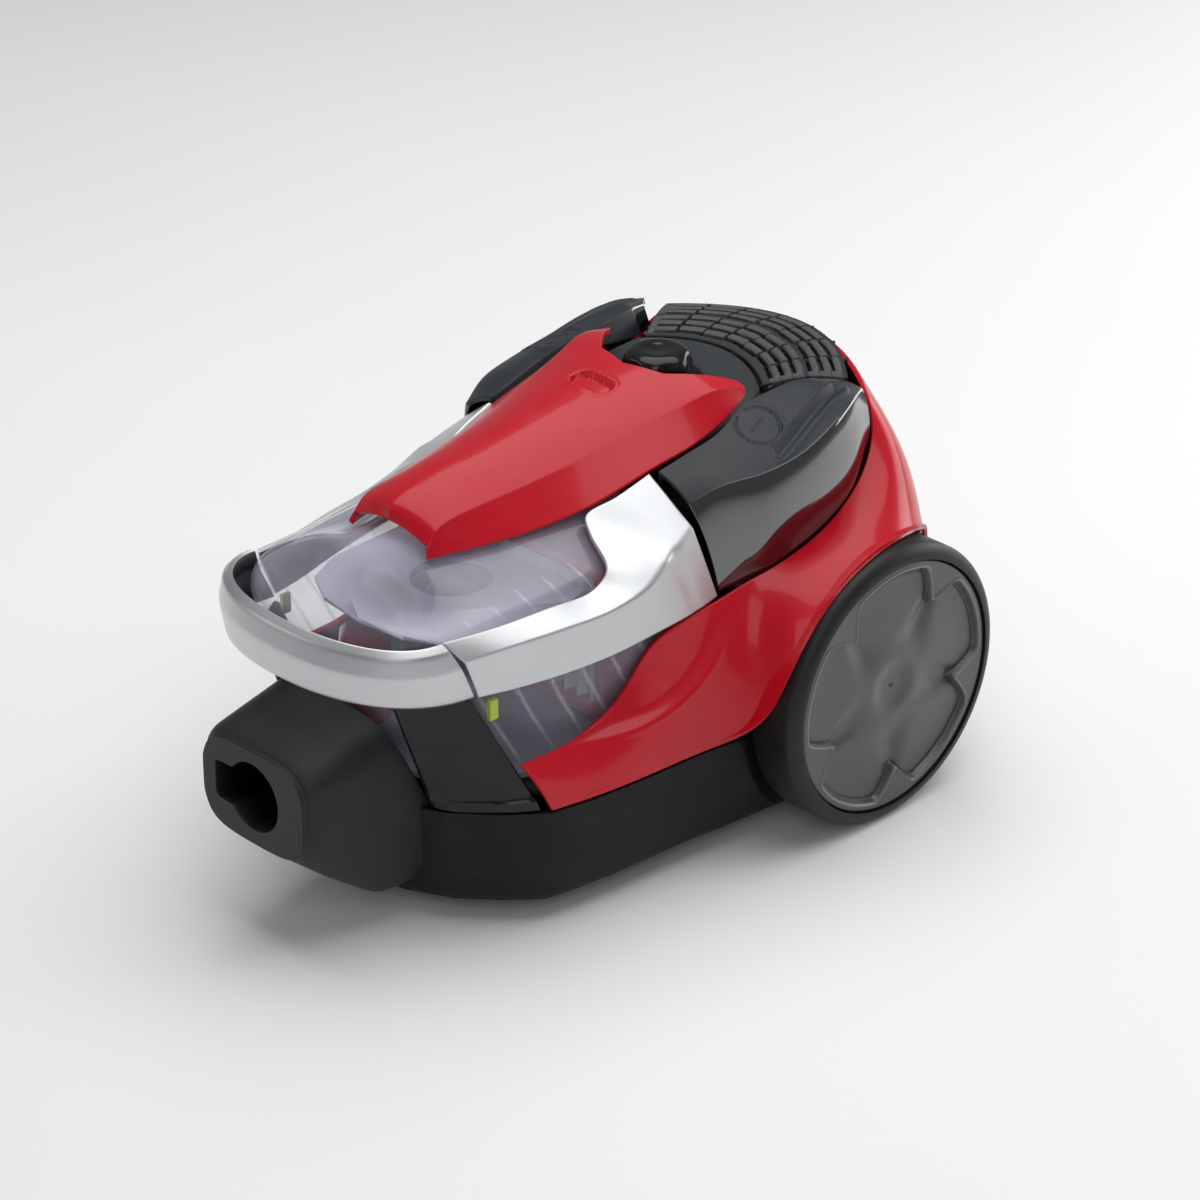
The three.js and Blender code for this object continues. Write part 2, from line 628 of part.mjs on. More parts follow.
// silver trims: lower edge, outward pull and upper edge, parting line to rear edge
// the band ends just ahead of the wheel arch
const TRIM_REAR = Math.min(sy(15), AXLE_Y - ARCH_RADIUS - 3.6);
const trimFoot = (x, share, z) =>
  v3(sx(x), sy(-10) + (TRIM_REAR - sy(-10)) * share, sz(z));
const TRIM_STATIONS = [
  [at(79, -138.6, 142), at(80.5, -148, 168), at(70.5, -155, 176.5)],
  [at(84, -118, 141), at(87, -119, 170), at(74.5, -120, 174.5)],
  [at(91, -90, 141.5), at(93, -90, 171), at(78, -90, 174.8)],
  [at(96, -60, 143), at(97, -60, 172), at(80, -60, 175)],
  [at(98, -30, 145.5), at(99, -36, 176), at(78.5, -49, 182.5)],
  [at(98.5, -10, 147), at(99, -18, 186), at(61, -44, 194)],
  [trimFoot(98, 0.28, 147.5), at(97.5, -12, 188), at(54, -40, 200.2)],
  [trimFoot(97.5, 0.56, 148), at(96, -6, 190), at(58, -22, 206)],
  [trimFoot(96, 1, 149), at(93, 2, 194), at(60, 0, 212.5)],
];
const trimEdge = [0, 1, 2].map((k) => path(...TRIM_STATIONS.map((station) => station[k])));

const TRIM_COLUMNS = 16;
const TRIM_WALL = 2.4;
function sideTrim() {
  const skin = (u, v) => bend(...trimEdge.map((edge) => edge.getPoint(u)), v);
  return skinSolid(TRIM_COLUMNS, 4, skin, TRIM_WALL);
}
addPair('side_trim', sideTrim(), SILVER);

// ---- carrying handle and lid of the dust case ----------------------------------------------
// stations front to rear: lower edge, crease and crown (right-hand half)
const LID_STATIONS = [
  [at(30, -127, 197.5), at(27.5, -125.5, 203), at(0, -127, 209)],
  [at(31, -124, 197.5), at(27.5, -119, 209.5), at(0, -125, 215.5)],
  [at(32.5, -119, 197.5), at(27.5, -111, 212.5), at(0, -118, 219.5)],
  [at(38, -98, 197.5), at(29, -88, 214.5), at(0, -90, 225.5)],
  [at(46, -66, 199), at(32.5, -58, 217.5), at(0, -60, 228.5)],
  [at(53, -32, 203.5), at(36, -24, 222), at(0, -28, 232.5)],
  [at(58, 0, 212), at(40, 6, 227.5), at(0, 4, 237)],
  [at(60.5, 32, 217.5), at(45, 34, 233), at(0, 34, 241.5)],
  [at(58.5, 60, 224), at(50, 58, 237), at(0, 58, 244.5)],
  [at(54, 78, 230), at(52.5, 78.5, 233), at(0, 78, 245)],
];
const lidEdge = [0, 1, 2].map((k) => path(...LID_STATIONS.map((station) => station[k])));
const LID_CREASE = 0.5;
const LID_WALL = 3;

function lidSkin(u, v) {
  const across = Math.abs(2 * v - 1);
  const [low, crease, crown] = lidEdge.map((edge) => edge.getPoint(u));
  let p;
  if (across < LID_CREASE) {
    const t = across / LID_CREASE;
    p = crown.clone().lerp(crease, t);
    p.z = crown.z + (crease.z - crown.z) * t * t;
  } else {
    p = crease.clone().lerp(low, (across - LID_CREASE) / (1 - LID_CREASE));
  }
  return v < 0.5 ? p : mirrored(p);
}

const SLIDE_Y = 17;
function capsule(length, width, z0, z1) {
  const shape = new THREE.Shape();
  const half = (length - width) / 2;
  shape.absarc(half, 0, width / 2, -Math.PI / 2, Math.PI / 2, false);
  shape.absarc(-half, 0, width / 2, Math.PI / 2, Math.PI * 1.5, false);
  return closed(new THREE.ExtrudeGeometry(shape,
    { depth: z1 - z0, bevelEnabled: false, curveSegments: 6 }).translate(0, 0, z0));
}

function lid() {
  const shell = skinSolid(18, 8, lidSkin, LID_WALL);
  const bay = [[-50, 86], [-44, 72], [-36, 60], [-24, 47], [0, 40], [24, 47], [36, 60], [44, 72],
    [50, 86]].map(([x, y]) => [sx(x), sy(y)]);
  const slot = capsule(24, 10, sz(222), sz(250)).translate(0, sy(SLIDE_Y), 0);
  return cut(shell, plate(bay, sz(205), sz(260)), slot);
}
add('carrying_handle', lid(), RED);


const SLIDE_TRAVEL = 8;
function filterSlide() {
  const level = lidEdge[2].getPoint(0.62).z - LID_WALL;
  const tongue = block(-14, 14, -7, 7, level - 6, level - 3.4);
  const button = capsule(13.5, 8.6, level - 4, level + 1.6);
  return join(tongue, button).translate(-SLIDE_TRAVEL / 2, sy(SLIDE_Y), 0);
}
add('filter_clean_slide', filterSlide(), RED);

// ---- pedals: the two big deck side panels --------------------------------------------------
// stations front to rear: foot (inside the red rim), side crease, inner edge, inner foot
const PEDAL_STATIONS = [
  [at(91.5, 20, 149), at(82, 7, 202), at(62.5, 5.5, 213), at(60, 7, 207)],
  [aroundArch(46.6, 98, 15.6), at(91, 23, 208), at(64, 22, 217), at(61, 22, 211)],
  [overArch(100.3, 48, -9), at(97, 47, 209), at(65.5, 44, 222), at(62, 44, 214)],
  [overArch(100.6, 70, -7), at(98.5, 75, 212), at(61.5, 68, 229), at(58, 68, 220)],
  [overArch(98.2, 98, 0), at(95, 101, 219), at(61, 90, 231), at(56, 92, 219)],
  [overArch(93.5, 117, 8), at(89.5, 119, 223.5), at(63, 108, 231.5), at(58, 110, 217)],
  [overArch(84.8, 137, 27), at(80, 138, 222.5), at(68, 124, 228), at(63.5, 125, 216)],
];
const pedalEdge = [0, 1, 2, 3].map((k) => path(...PEDAL_STATIONS.map((station) => station[k])));
const PEDAL_ROWS = 8;

function pedalSkin(u, v) {
  const [foot, crease, brow, lip] = pedalEdge.map((edge) => edge.getPoint(u));
  const row = v * PEDAL_ROWS;
  if (row <= 4) {
    return bend(foot, crease.clone().lerp(foot, 0.4).add(v3(sx(3), 0, 0)), crease, row / 4);
  }
  if (row <= 7) {
    return bend(crease, crease.clone().lerp(brow, 0.4).add(v3(0, 0, sz(3.5))), brow, (row - 4) / 3);
  }
  return lip;
}

const pedal = skinSolid(9, PEDAL_ROWS, pedalSkin, WALL);
add('power_pedal', pedal, DECK_GREY);
add('cord_pedal', mirrorX(pedal), DECK_GREY);

// ---- deck frame with the knob console ------------------------------------------------------
const FRAME_Z = 180;
// console stations front to rear: edge and middle
const CONSOLE_STATIONS = [
  [at(52, 34, 209), at(0, 36, 216)],
  [at(53, 60, 214), at(0, 58, 219)],
  [at(50, 84, 220), at(0, 84, 222)],
  [at(45, 97, 223.5), at(0, 115, 226)],
];
const consoleEdge = [0, 1].map((k) => path(...CONSOLE_STATIONS.map((station) => station[k])));

function consoleSkin(u, v) {
  const across = Math.abs(2 * v - 1);
  const [edge, middle] = consoleEdge.map((line) => line.getPoint(u));
  const bow = 1 - across * across;
  const p = v3(edge.x * across, edge.y + (middle.y - edge.y) * bow,
    edge.z + (middle.z - edge.z) * bow);
  return v < 0.5 ? p : mirrored(p);
}

const RELEASE_BUTTON = { x: -33, y: 60, z: 221, width: 12, depth: 10, height: 14 };
const FILTER_Y = 132;
const FILTER_HALF = 50;
const FILTER_DEPTH = 52;
function deckFrame() {
  const half = [[76, 26], [78, 60], [76, 128], [60, 168]];
  const outline = [...half, ...[...half].reverse().map(([x, y]) => [-x, y])]
    .map(([x, y]) => [sx(x), sy(y)]);
  const shelf = plate(outline, sz(FRAME_Z), sz(FRAME_Z) + 3);
  const cheek = (x) => plate([[40, 181], [97, 181], [97, 221], [84, 218], [60, 213.5],
    [40, 209]].map(([y, z]) => [sy(y), sz(z)]), x, x + 3);
  const turn = (geometry) => geometry.applyMatrix4(new THREE.Matrix4().set(
    0, 0, 1, 0, 1, 0, 0, 0, 0, 1, 0, 0, 0, 0, 0, 1));
  const top = skinSolid(8, 8, consoleSkin, WALL);
  const body = join(shelf, top, turn(cheek(sx(46))), turn(cheek(sx(-49))));
  const button = RELEASE_BUTTON;
  return cut(body,
    block(-FILTER_HALF - 2, FILTER_HALF + 2, sy(FILTER_Y) - FILTER_DEPTH / 2 - 2,
      sy(FILTER_Y) + FILTER_DEPTH / 2 + 2, sz(170), sz(190)),
    block(sx(button.x) - button.width / 2 - 0.6, sx(button.x) + button.width / 2 + 0.6,
      sy(button.y) - button.depth / 2 - 0.6, sy(button.y) + button.depth / 2 + 0.6, sz(195), sz(240)),
    rodZ(KNOB_RADIUS / 2, sz(205), sz(235), 0, sy(KNOB_Y), 20));
}
add('deck_frame', deckFrame(), DECK_GREY);

// ---- power knob ----------------------------------------------------------------------------
const KNOB_FOOT_Z = 223;
function knob() {
  const foot = sz(KNOB_FOOT_Z);
  const profile = [[0, 0], [KNOB_RADIUS, 0], [KNOB_RADIUS, KNOB_HEIGHT - 6],
    [KNOB_RADIUS - 3, KNOB_HEIGHT - 1], [KNOB_RADIUS - 7, KNOB_HEIGHT], [0, KNOB_HEIGHT - 1]];
  const body = alongZ(lathe(profile, 24)).translate(0, sy(KNOB_Y), foot);
  const stem = rodZ(4, foot - 16, foot + 2, 0, sy(KNOB_Y), 12);
  const flats = [0, 1, 2, 3, 4, 5].map((k) => {
    const a = k * Math.PI / 3;
    return rodZ(16, foot + 3, foot + 40, (KNOB_RADIUS + 14) * Math.cos(a),
      sy(KNOB_Y) + (KNOB_RADIUS + 14) * Math.sin(a), 12);
  });
  return cut(join(body, stem), ...flats);
}
add('power_knob', knob(), GLOSS_BLACK);

// ---- exhaust grille ------------------------------------------------------------------------
// a curved panel between two bowed edges; s runs left to right, t front to rear
const GRILLE_FRONT = [[44, 100.5, 224], [0, 117, 226.5]];
const GRILLE_REAR = [[67, 140, 221], [0, 174, 221.5]];

function grillePoint(s, t, rise = 0) {
  const edge = ([[endX, endY, endZ], [, midY, midZ]]) => {
    const bow = 1 - s * s;
    return at(endX * s, endY + (midY - endY) * bow, endZ + (midZ - endZ) * bow);
  };
  const p = edge(GRILLE_FRONT).lerp(edge(GRILLE_REAR), t);
  p.z += sz(3 * Math.sin(Math.PI * t)) + rise;
  return p;
}

const GRILLE_ROWS = [0.1, 0.22, 0.34, 0.58, 0.7, 0.82];
const GRILLE_BAYS = [[-0.92, -0.02], [0.02, 0.92]];
function grille() {
  const panel = skinSolid(12, 2, (u, v) => grillePoint(2 * u - 1, v), 3);
  const slot = (t, [s0, s1]) => ringSolid([0, 1, 2].map((k) => {
    const s = s0 + (s1 - s0) * k / 2;
    return [grillePoint(s, t, -8), grillePoint(s, t + 0.07, -8), grillePoint(s, t + 0.07, 8),
      grillePoint(s, t, 8)];
  }));
  return cut(panel, ...GRILLE_ROWS.flatMap((t) => GRILLE_BAYS.map((bay) => slot(t, bay))));
}
add('exhaust_grille', grille(), DECK_GREY);

// ---- rear wheels ---------------------------------------------------------------------------
function tyre() {
  const w = WHEEL_WIDTH;
  const r = WHEEL_RADIUS;
  const bead = r - TYRE_DEPTH;
  return alongX(lathe(loop([[bead, 0], [r - 1, 0], [r, 3], [r, w - 8], [r - 3, w - 3],
    [r - 7, w], [bead, w]]), WHEEL_FACETS)).translate(WHEEL_INNER_X, AXLE_Y, AXLE_Z);
}

const RIM_RADIUS = WHEEL_RADIUS - TYRE_DEPTH - GAP;
function rim() {
  const bore = AXLE_RADIUS + GAP;
  return alongX(lathe(loop([[bore, 0], [bore + 6, 0], [bore + 7, 14], [RIM_RADIUS - 4, 16],
    [RIM_RADIUS - 3, 1], [RIM_RADIUS, 1], [RIM_RADIUS, WHEEL_WIDTH - 5],
    [RIM_RADIUS - 3, WHEEL_WIDTH - 5], [RIM_RADIUS - 5, 19], [bore, 17]]), WHEEL_FACETS))
    .translate(WHEEL_INNER_X, AXLE_Y, AXLE_Z);
}

// dished cover with a shallow five-petal relief
function hubCover() {
  const face = (u, v) => {
    const angle = -2 * Math.PI * u;
    const r = 6 + (RIM_RADIUS - 6.5) * v;
    const petal = Math.cos(5 * (angle - Math.PI / 2));
    const dish = 1.2 * Math.cos(Math.PI * v) - 1.2 * petal * Math.sin(Math.PI * v);
    return v3(FACE_X - 2.4 + dish * 0.5, AXLE_Y + r * Math.cos(angle), AXLE_Z + r * Math.sin(angle));
  };
  const ring = (k, depth) => Array.from({ length: 25 }, (_, i) => {
    const p = face(i / 25, k);
    return v3(p.x - depth, p.y, p.z);
  });
  return ringSolid([ring(0, 1.8), ring(1, 1.8), ring(1, 0), ring(0.66, 0), ring(0.33, 0),
    ring(0, 0)]);
}
addPair('wheel_tyre', tyre(), RUBBER);
addPair('wheel_rim', rim(), BLACK);
addPair('hub_cover', hubCover(), WHEEL_GREY);

function axle() {
  return rodX(AXLE_RADIUS, WELL_X - 18, WHEEL_INNER_X + 24, AXLE_Y, AXLE_Z, 16);
}
addPair('wheel_axle', axle(), STEEL);

// ---- front caster --------------------------------------------------------------------------
function casterFork() {
  const y = sy(CASTER_Y);
  const half = CASTER_WIDTH / 2 + 1;
  const cheek = (x) => plate([[y - 9, CASTER_TOP - 4], [y + 9, CASTER_TOP - 4],
    [y + CASTER_TRAIL + 6, CASTER_RADIUS + 3], [y + CASTER_TRAIL + 4, CASTER_RADIUS - 5],
    [y + CASTER_TRAIL - 4, CASTER_RADIUS - 5], [y + CASTER_TRAIL - 7, CASTER_RADIUS + 3]], x, x + 3)
    .applyMatrix4(new THREE.Matrix4().set(0, 0, 1, 0, 1, 0, 0, 0, 0, 1, 0, 0, 0, 0, 0, 1));
  const crown = rodZ(15, CASTER_TOP - 7, CASTER_TOP - 1, 0, y, 20);
  const stem = rodZ(CASTER_STEM, CASTER_TOP - 3, CASTER_TOP + 14, 0, y, 16);
  const pin = rodX(2.4, -half - 1, half + 1, y + CASTER_TRAIL, CASTER_RADIUS, 12);
  return join(crown, stem, cheek(half), cheek(-half - 3), pin);
}
add('caster_fork', casterFork(), BLACK);

function casterWheel() {
  const w = CASTER_WIDTH;
  const r = CASTER_RADIUS;
  return alongX(lathe(loop([[2.9, 0], [6, 0], [7, 2], [r - 2, 1], [r, 3], [r, w - 3],
    [r - 2, w - 1], [7, w - 2], [6, w], [2.9, w]]), 16))
    .translate(-w / 2, sy(CASTER_Y) + CASTER_TRAIL, r);
}
add('caster_wheel', casterWheel(), RUBBER);


// ---- release button for the dust case ------------------------------------------------------
function releaseButton() {
  const b = RELEASE_BUTTON;
  return block(sx(b.x) - b.width / 2, sx(b.x) + b.width / 2, sy(b.y) - b.depth / 2,
    sy(b.y) + b.depth / 2, sz(b.z) - b.height, sz(b.z));
}
add('release_button', releaseButton(), GLOSS_BLACK);

// ---- control board and exhaust filter ------------------------------------------------------
const BOARD_Z = 194;
function controlBoard() {
  const z = sz(BOARD_Z);
  const y = sy(KNOB_Y);
  return join(block(-40, 40, y - 18, y + 26, z, z + 1.6), rodZ(9, z + 1, z + 9, 0, y, 14),
    rodZ(7, z + 1, z + 9, 26, y + 14, 12), block(-34, -22, y + 6, y + 22, z + 1, z + 8));
}
add('control_board', controlBoard(), GREEN);

function exhaustFilter() {
  const y = sy(FILTER_Y);
  const z = sz(FRAME_Z) + 3 + GAP;
  const half = FILTER_DEPTH / 2;
  return join(block(-FILTER_HALF, FILTER_HALF, y - half, y + half, z - 10, z + 16),
    block(-FILTER_HALF - 5, FILTER_HALF + 5, y - half - 5, y + half + 3, z, z + 3));
}
add('exhaust_filter', exhaustFilter(), PAPER);

// ---- motor and fan -------------------------------------------------------------------------
const FAN_Y = sy(FAN_FRONT_Y);
const CAN_Y = FAN_Y + FAN_LENGTH + 0.5;
const onMotorAxis = (geometry, y) => geometry.translate(MOTOR_X, y, MOTOR_Z);
const SHEET = 1.6;

add('fan_casing', onMotorAxis(lathe(loop([[15, 0], [FAN_RADIUS, 0], [FAN_RADIUS, FAN_LENGTH],
  [9, FAN_LENGTH], [9, FAN_LENGTH - SHEET], [FAN_RADIUS - SHEET, FAN_LENGTH - SHEET],
  [FAN_RADIUS - SHEET, SHEET], [15, SHEET]]), 20), FAN_Y), STEEL);

add('motor_can', onMotorAxis(lathe(loop([[10, 0], [MOTOR_RADIUS, 0],
  [MOTOR_RADIUS, MOTOR_LENGTH], [10, MOTOR_LENGTH], [10, MOTOR_LENGTH - SHEET],
  [MOTOR_RADIUS - SHEET, MOTOR_LENGTH - SHEET], [MOTOR_RADIUS - SHEET, SHEET], [10, SHEET]]), 20),
CAN_Y), STEEL);

const STATOR_LENGTH = 32;
const STATOR_BORE = 21;
add('motor_stator', onMotorAxis(lathe(loop([[STATOR_BORE, 0], [MOTOR_RADIUS - SHEET - GAP, 0],
  [MOTOR_RADIUS - SHEET - GAP, STATOR_LENGTH], [STATOR_BORE, STATOR_LENGTH]]), 20),
CAN_Y + 14), paint(0x6d5a3a, 0.5, 0.6));

function rotor() {
  const impeller = FAN_RADIUS - 8;
  const end = FAN_LENGTH + MOTOR_LENGTH + 5;
  const core = lathe([[0, 4], [9, 4], [9, 18], [impeller, 19], [impeller, 21], [5, 22],
    [5, FAN_LENGTH + 12], [STATOR_BORE - 2, FAN_LENGTH + 15],
    [STATOR_BORE - 2, FAN_LENGTH + 45], [5, FAN_LENGTH + 48], [4, end], [0, end]], 16);
  const blades = Array.from({ length: 7 }, (_, k) =>
    block(7, impeller - 2, 9, 19.5, -0.7, 0.7).rotateY(2 * Math.PI * k / 7 + 0.2));
  return onMotorAxis(join(core, ...blades), FAN_Y);
}
add('motor_rotor', rotor(), STEEL);

function motorMount(radius, y, width) {
  const ring = lathe(loop([[radius + GAP, 0], [radius + 5, 0], [radius + 5, width],
    [radius + GAP, width]]), 20).translate(MOTOR_X, y, MOTOR_Z);
  const bore = rodY(radius + 2, y - 5, y + width + 5, MOTOR_X, MOTOR_Z, 20);
  const foot = block(MOTOR_X - 22, MOTOR_X + 22, y, y + width, sz(FLOOR_Z) + 3.4, MOTOR_Z - radius);
  return join(ring, cut(foot, bore));
}
add('motor_mount_front', motorMount(FAN_RADIUS, FAN_Y + 8, 12), RUBBER);
add('motor_mount_rear', motorMount(MOTOR_RADIUS, CAN_Y + MOTOR_LENGTH - 16, 10), RUBBER);

// ---- cord reel -----------------------------------------------------------------------------
const REEL_CENTRE_Y = sy(REEL_Y);
const onReelAxis = (geometry, x) => alongX(geometry).translate(x, REEL_CENTRE_Y, REEL_Z);
const REEL_BORE = 9;
const REEL_END = REEL_X - REEL_WIDTH / 2;

add('cord_reel', onReelAxis(lathe(loop([[REEL_BORE + GAP, 0], [REEL_RADIUS, 0], [REEL_RADIUS, 2],
  [26, 3], [26, REEL_WIDTH - 3], [REEL_RADIUS, REEL_WIDTH - 2], [REEL_RADIUS, REEL_WIDTH],
  [REEL_BORE + GAP, REEL_WIDTH]]), 20), REEL_END), WHEEL_GREY);

function reelBracket() {
  const x = REEL_END + REEL_WIDTH + 1;
  const post = block(x, x + 4, REEL_CENTRE_Y - 16, REEL_CENTRE_Y + 16, sz(FLOOR_Z) + 3.4,
    REEL_Z + 14);
  return join(post, onReelAxis(rod(REEL_BORE, REEL_WIDTH + 3, 16), REEL_END));
}
add('reel_bracket', reelBracket(), BLACK);

const BRAKE_ROLLER = 5;
const BRAKE_ARM = 45;
const BRAKE_Z = REEL_Z + REEL_RADIUS + BRAKE_ROLLER + 0.5;
const BRAKE_X = REEL_END + 9;
function reelBrake() {
  const pivotY = REEL_CENTRE_Y - BRAKE_ARM;
  return join(block(BRAKE_X, BRAKE_X + 8, pivotY, REEL_CENTRE_Y, BRAKE_Z - 1, BRAKE_Z + 5),
    rodX(BRAKE_ROLLER, BRAKE_X - 4, BRAKE_X + 12, REEL_CENTRE_Y, BRAKE_Z, 14),
    rodX(6, BRAKE_X - 2, BRAKE_X + 10, pivotY, BRAKE_Z + 2, 14));
}
add('reel_brake', reelBrake(), BLACK);

function cordOutlet() {
  return lathe(loop([[5, 0], [10.4, 0], [10.4, 11], [7, 11]]), 18)
    .translate(sx(CORD_X), sy(204.5), sz(CORD_Z));
}
add('cord_outlet', cordOutlet(), BLACK);

// ---- inside the dust case ------------------------------------------------------------------
const PLEATS = 13;
const PLEAT_HALF = 62;
const PLEAT_DEPTH = 30;
const PLEAT_REAR_Y = -10;
const CASSETTE_LOW = 92;
const CASSETTE_HIGH = 166;

function pleatedFilter() {
  const zigzag = (offset) => Array.from({ length: 2 * PLEATS + 1 }, (_, i) => [
    -PLEAT_HALF + i * PLEAT_HALF / PLEATS,
    sy(PLEAT_REAR_Y) - 2 - offset - (i % 2) * (PLEAT_DEPTH - 3)]);
  return plate([...zigzag(0), ...zigzag(1.2).reverse()], sz(CASSETTE_LOW), sz(CASSETTE_HIGH));
}
add('pleated_filter', pleatedFilter(), PAPER);

function filterFrame() {
  const y = sy(PLEAT_REAR_Y);
  const [low, high] = [sz(CASSETTE_LOW), sz(CASSETTE_HIGH)];
  const rim = block(-PLEAT_HALF - 7, PLEAT_HALF + 7, y - PLEAT_DEPTH - 2, y, low - 7, high + 7);
  return cut(rim, block(-PLEAT_HALF - 0.5, PLEAT_HALF + 0.5, y - PLEAT_DEPTH - 9, y + 9,
    low - 0.5, high + 0.5));
}
add('filter_frame', filterFrame(), DARK_RED);

const CYCLONE_Y = -84;
const CYCLONE_LOW = 98;
const CYCLONE_HIGH = 158;
function cycloneCone() {
  const tall = sz(CYCLONE_HIGH) - sz(CYCLONE_LOW);
  return alongZ(lathe(loop([[20, 0], [36, tall], [34, tall], [18, 0]]), 20))
    .translate(0, sy(CYCLONE_Y), sz(CYCLONE_LOW));
}
add('cyclone_cone', cycloneCone(), PURPLE);

function separatorPlate() {
  const z = sz(CYCLONE_HIGH) + GAP;
  const half = [[0, -148], [30, -145], [50, -134], [60, -112], [62, -60], [58, -44]];
  const outline = [...half, ...half.slice(1).reverse().map(([x, y]) => [-x, y])]
    .map(([x, y]) => [sx(x), sy(y)]);
  return cut(plate(outline, z, z + 2.4), rodZ(22, z - 5, z + 5, 0, sy(CYCLONE_Y), 20));
}
add('separator_plate', separatorPlate(), PURPLE);

function meshTube() {
  const tall = sz(CYCLONE_HIGH) - sz(CYCLONE_LOW) - 10;
  return alongZ(lathe(loop([[14, 0], [14, tall], [12, tall], [12, 0]]), 16))
    .translate(0, sy(CYCLONE_Y), sz(CYCLONE_LOW) + 5);
}
add('mesh_tube', meshTube(), STEEL);

const PIPE_RADIUS = 14;
const PIPE_BORE = 12;
function inletPipe() {
  const line = path(at(0, -145, 107), at(-8, -138, 110), at(-22, -127, 117), at(-34, -114, 126));
  const section = new THREE.Shape().absarc(0, 0, PIPE_RADIUS, 0, 2 * Math.PI, false);
  section.holes.push(new THREE.Path().absarc(0, 0, PIPE_BORE, 0, 2 * Math.PI, true));
  return closed(new THREE.ExtrudeGeometry(section,
    { steps: 5, curveSegments: 12, extrudePath: line }));
}
add('case_inlet_pipe', inletPipe(), DARK_RED);

function caseLatch() {
  return block(sx(78), sx(80.5), sy(-132.5), sy(-127), sz(127), sz(138));
}
addPair('case_latch', caseLatch(), LIME);

// ---- pedal return springs ------------------------------------------------------------------
const SPRING_RADIUS = 5;
const SPRING_TURNS = 3;
function pedalSpring() {
  const low = sz(FRAME_Z) + 3 + 1.4;
  const high = sz(222);
  class Coil extends THREE.Curve {
    getPoint(t) {
      const a = 2 * Math.PI * SPRING_TURNS * t;
      return v3(sx(71) + SPRING_RADIUS * Math.cos(a), sy(100) + SPRING_RADIUS * Math.sin(a),
        low + (high - low) * t);
    }
  }
  const wire = new THREE.Shape().absarc(0, 0, 0.8, 0, 2 * Math.PI, false);
  return new THREE.ExtrudeGeometry(wire,
    { steps: 7 * SPRING_TURNS, curveSegments: 3, extrudePath: new Coil() });
}
const spring = closed(pedalSpring());
add('power_pedal_spring', spring, STEEL);
add('cord_pedal_spring', mirrorX(spring), STEEL);

export default group;
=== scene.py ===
"""Canister vacuum cleaner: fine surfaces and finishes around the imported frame."""
import json
import math

import bmesh
import bpy
import numpy as np
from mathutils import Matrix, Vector


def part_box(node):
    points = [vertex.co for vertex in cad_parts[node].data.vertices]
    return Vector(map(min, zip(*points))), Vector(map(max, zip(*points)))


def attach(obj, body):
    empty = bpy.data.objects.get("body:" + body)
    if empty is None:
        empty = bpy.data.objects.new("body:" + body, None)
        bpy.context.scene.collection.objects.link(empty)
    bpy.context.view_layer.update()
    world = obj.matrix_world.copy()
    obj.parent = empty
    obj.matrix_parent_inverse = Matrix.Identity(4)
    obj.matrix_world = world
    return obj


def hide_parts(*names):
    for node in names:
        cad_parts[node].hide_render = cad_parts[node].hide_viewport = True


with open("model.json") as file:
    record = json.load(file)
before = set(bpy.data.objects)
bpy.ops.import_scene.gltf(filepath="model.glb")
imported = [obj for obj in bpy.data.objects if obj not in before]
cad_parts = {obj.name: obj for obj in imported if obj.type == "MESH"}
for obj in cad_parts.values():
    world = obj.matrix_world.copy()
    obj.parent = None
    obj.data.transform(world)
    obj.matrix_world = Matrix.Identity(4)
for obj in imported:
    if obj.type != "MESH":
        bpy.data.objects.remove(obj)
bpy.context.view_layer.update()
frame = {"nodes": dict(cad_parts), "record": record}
MM = 0.001

# ---- sizes shared by several pieces, millimetres ----
WALL = 2.6
LIFT_SLOPE = 32 / 70
LIFT_LEVEL = 178
AXLE_Y, AXLE_Z = 102, 80
ARCH_RADIUS = 83.4
ARCH_TOP = AXLE_Z + ARCH_RADIUS
WELL_X = 109
WHEEL_INNER_X = 114
TYRE_RADIUS = 80
RIM_RADIUS = 71.6
HUB_X = 140.4
PORT_Z = 86
PORT_RADIUS = 19.0
KNOB_Y = 66
KNOB_FOOT = 223.0
RIM_STEPS = 4
HANDS = (("right", 1), ("left", -1))


# ---- curves and grids ----
def spline(stations, u):
    """Smooth curve through the stations, station i at u = i / (count - 1). Each span is a cubic
    whose end slopes come from the neighbours, weighed by the square root of their distances."""
    p = np.asarray(stations, float)
    p = np.concatenate([2 * p[:1] - p[1:2], p, 2 * p[-1:] - p[-2:-1]])
    spans = len(p) - 3
    s = np.clip(np.asarray(u, float), 0, 1) * spans
    i = np.minimum(s.astype(int), spans - 1)
    w = (s - i).reshape(s.shape + (1,) * (p.ndim - 1))
    a, b, c, d = p[i], p[i + 1], p[i + 2], p[i + 3]
    gap = lambda m, n: np.maximum(np.sum((n - m) ** 2, -1, keepdims=True), 1e-9) ** 0.25
    da, db, dc = gap(a, b), gap(b, c), gap(c, d)
    first = ((b - a) / da - (c - a) / (da + db) + (c - b) / db) * db
    last = ((c - b) / db - (d - b) / (db + dc) + (d - c) / dc) * db
    return (b + first * w + (3 * (c - b) - 2 * first - last) * w ** 2
            + (2 * (b - c) + first + last) * w ** 3)


def settled(grid, spread):
    """Takes the small waves out along the first axis: a bell-shaped running mean of that spread
    in rows, with the grid turned about its end rows so that these stay where they are."""
    n = min(int(3 * spread), len(grid) - 1)
    if n < 1:
        return grid
    wide = np.concatenate([2 * grid[:1] - grid[n:0:-1], grid, 2 * grid[-1:] - grid[-2:-n - 2:-1]])
    bell = np.exp(-0.5 * (np.arange(-n, n + 1) / spread) ** 2)
    return sum(k * wide[j:j + len(grid)] for j, k in enumerate(bell / bell.sum()))


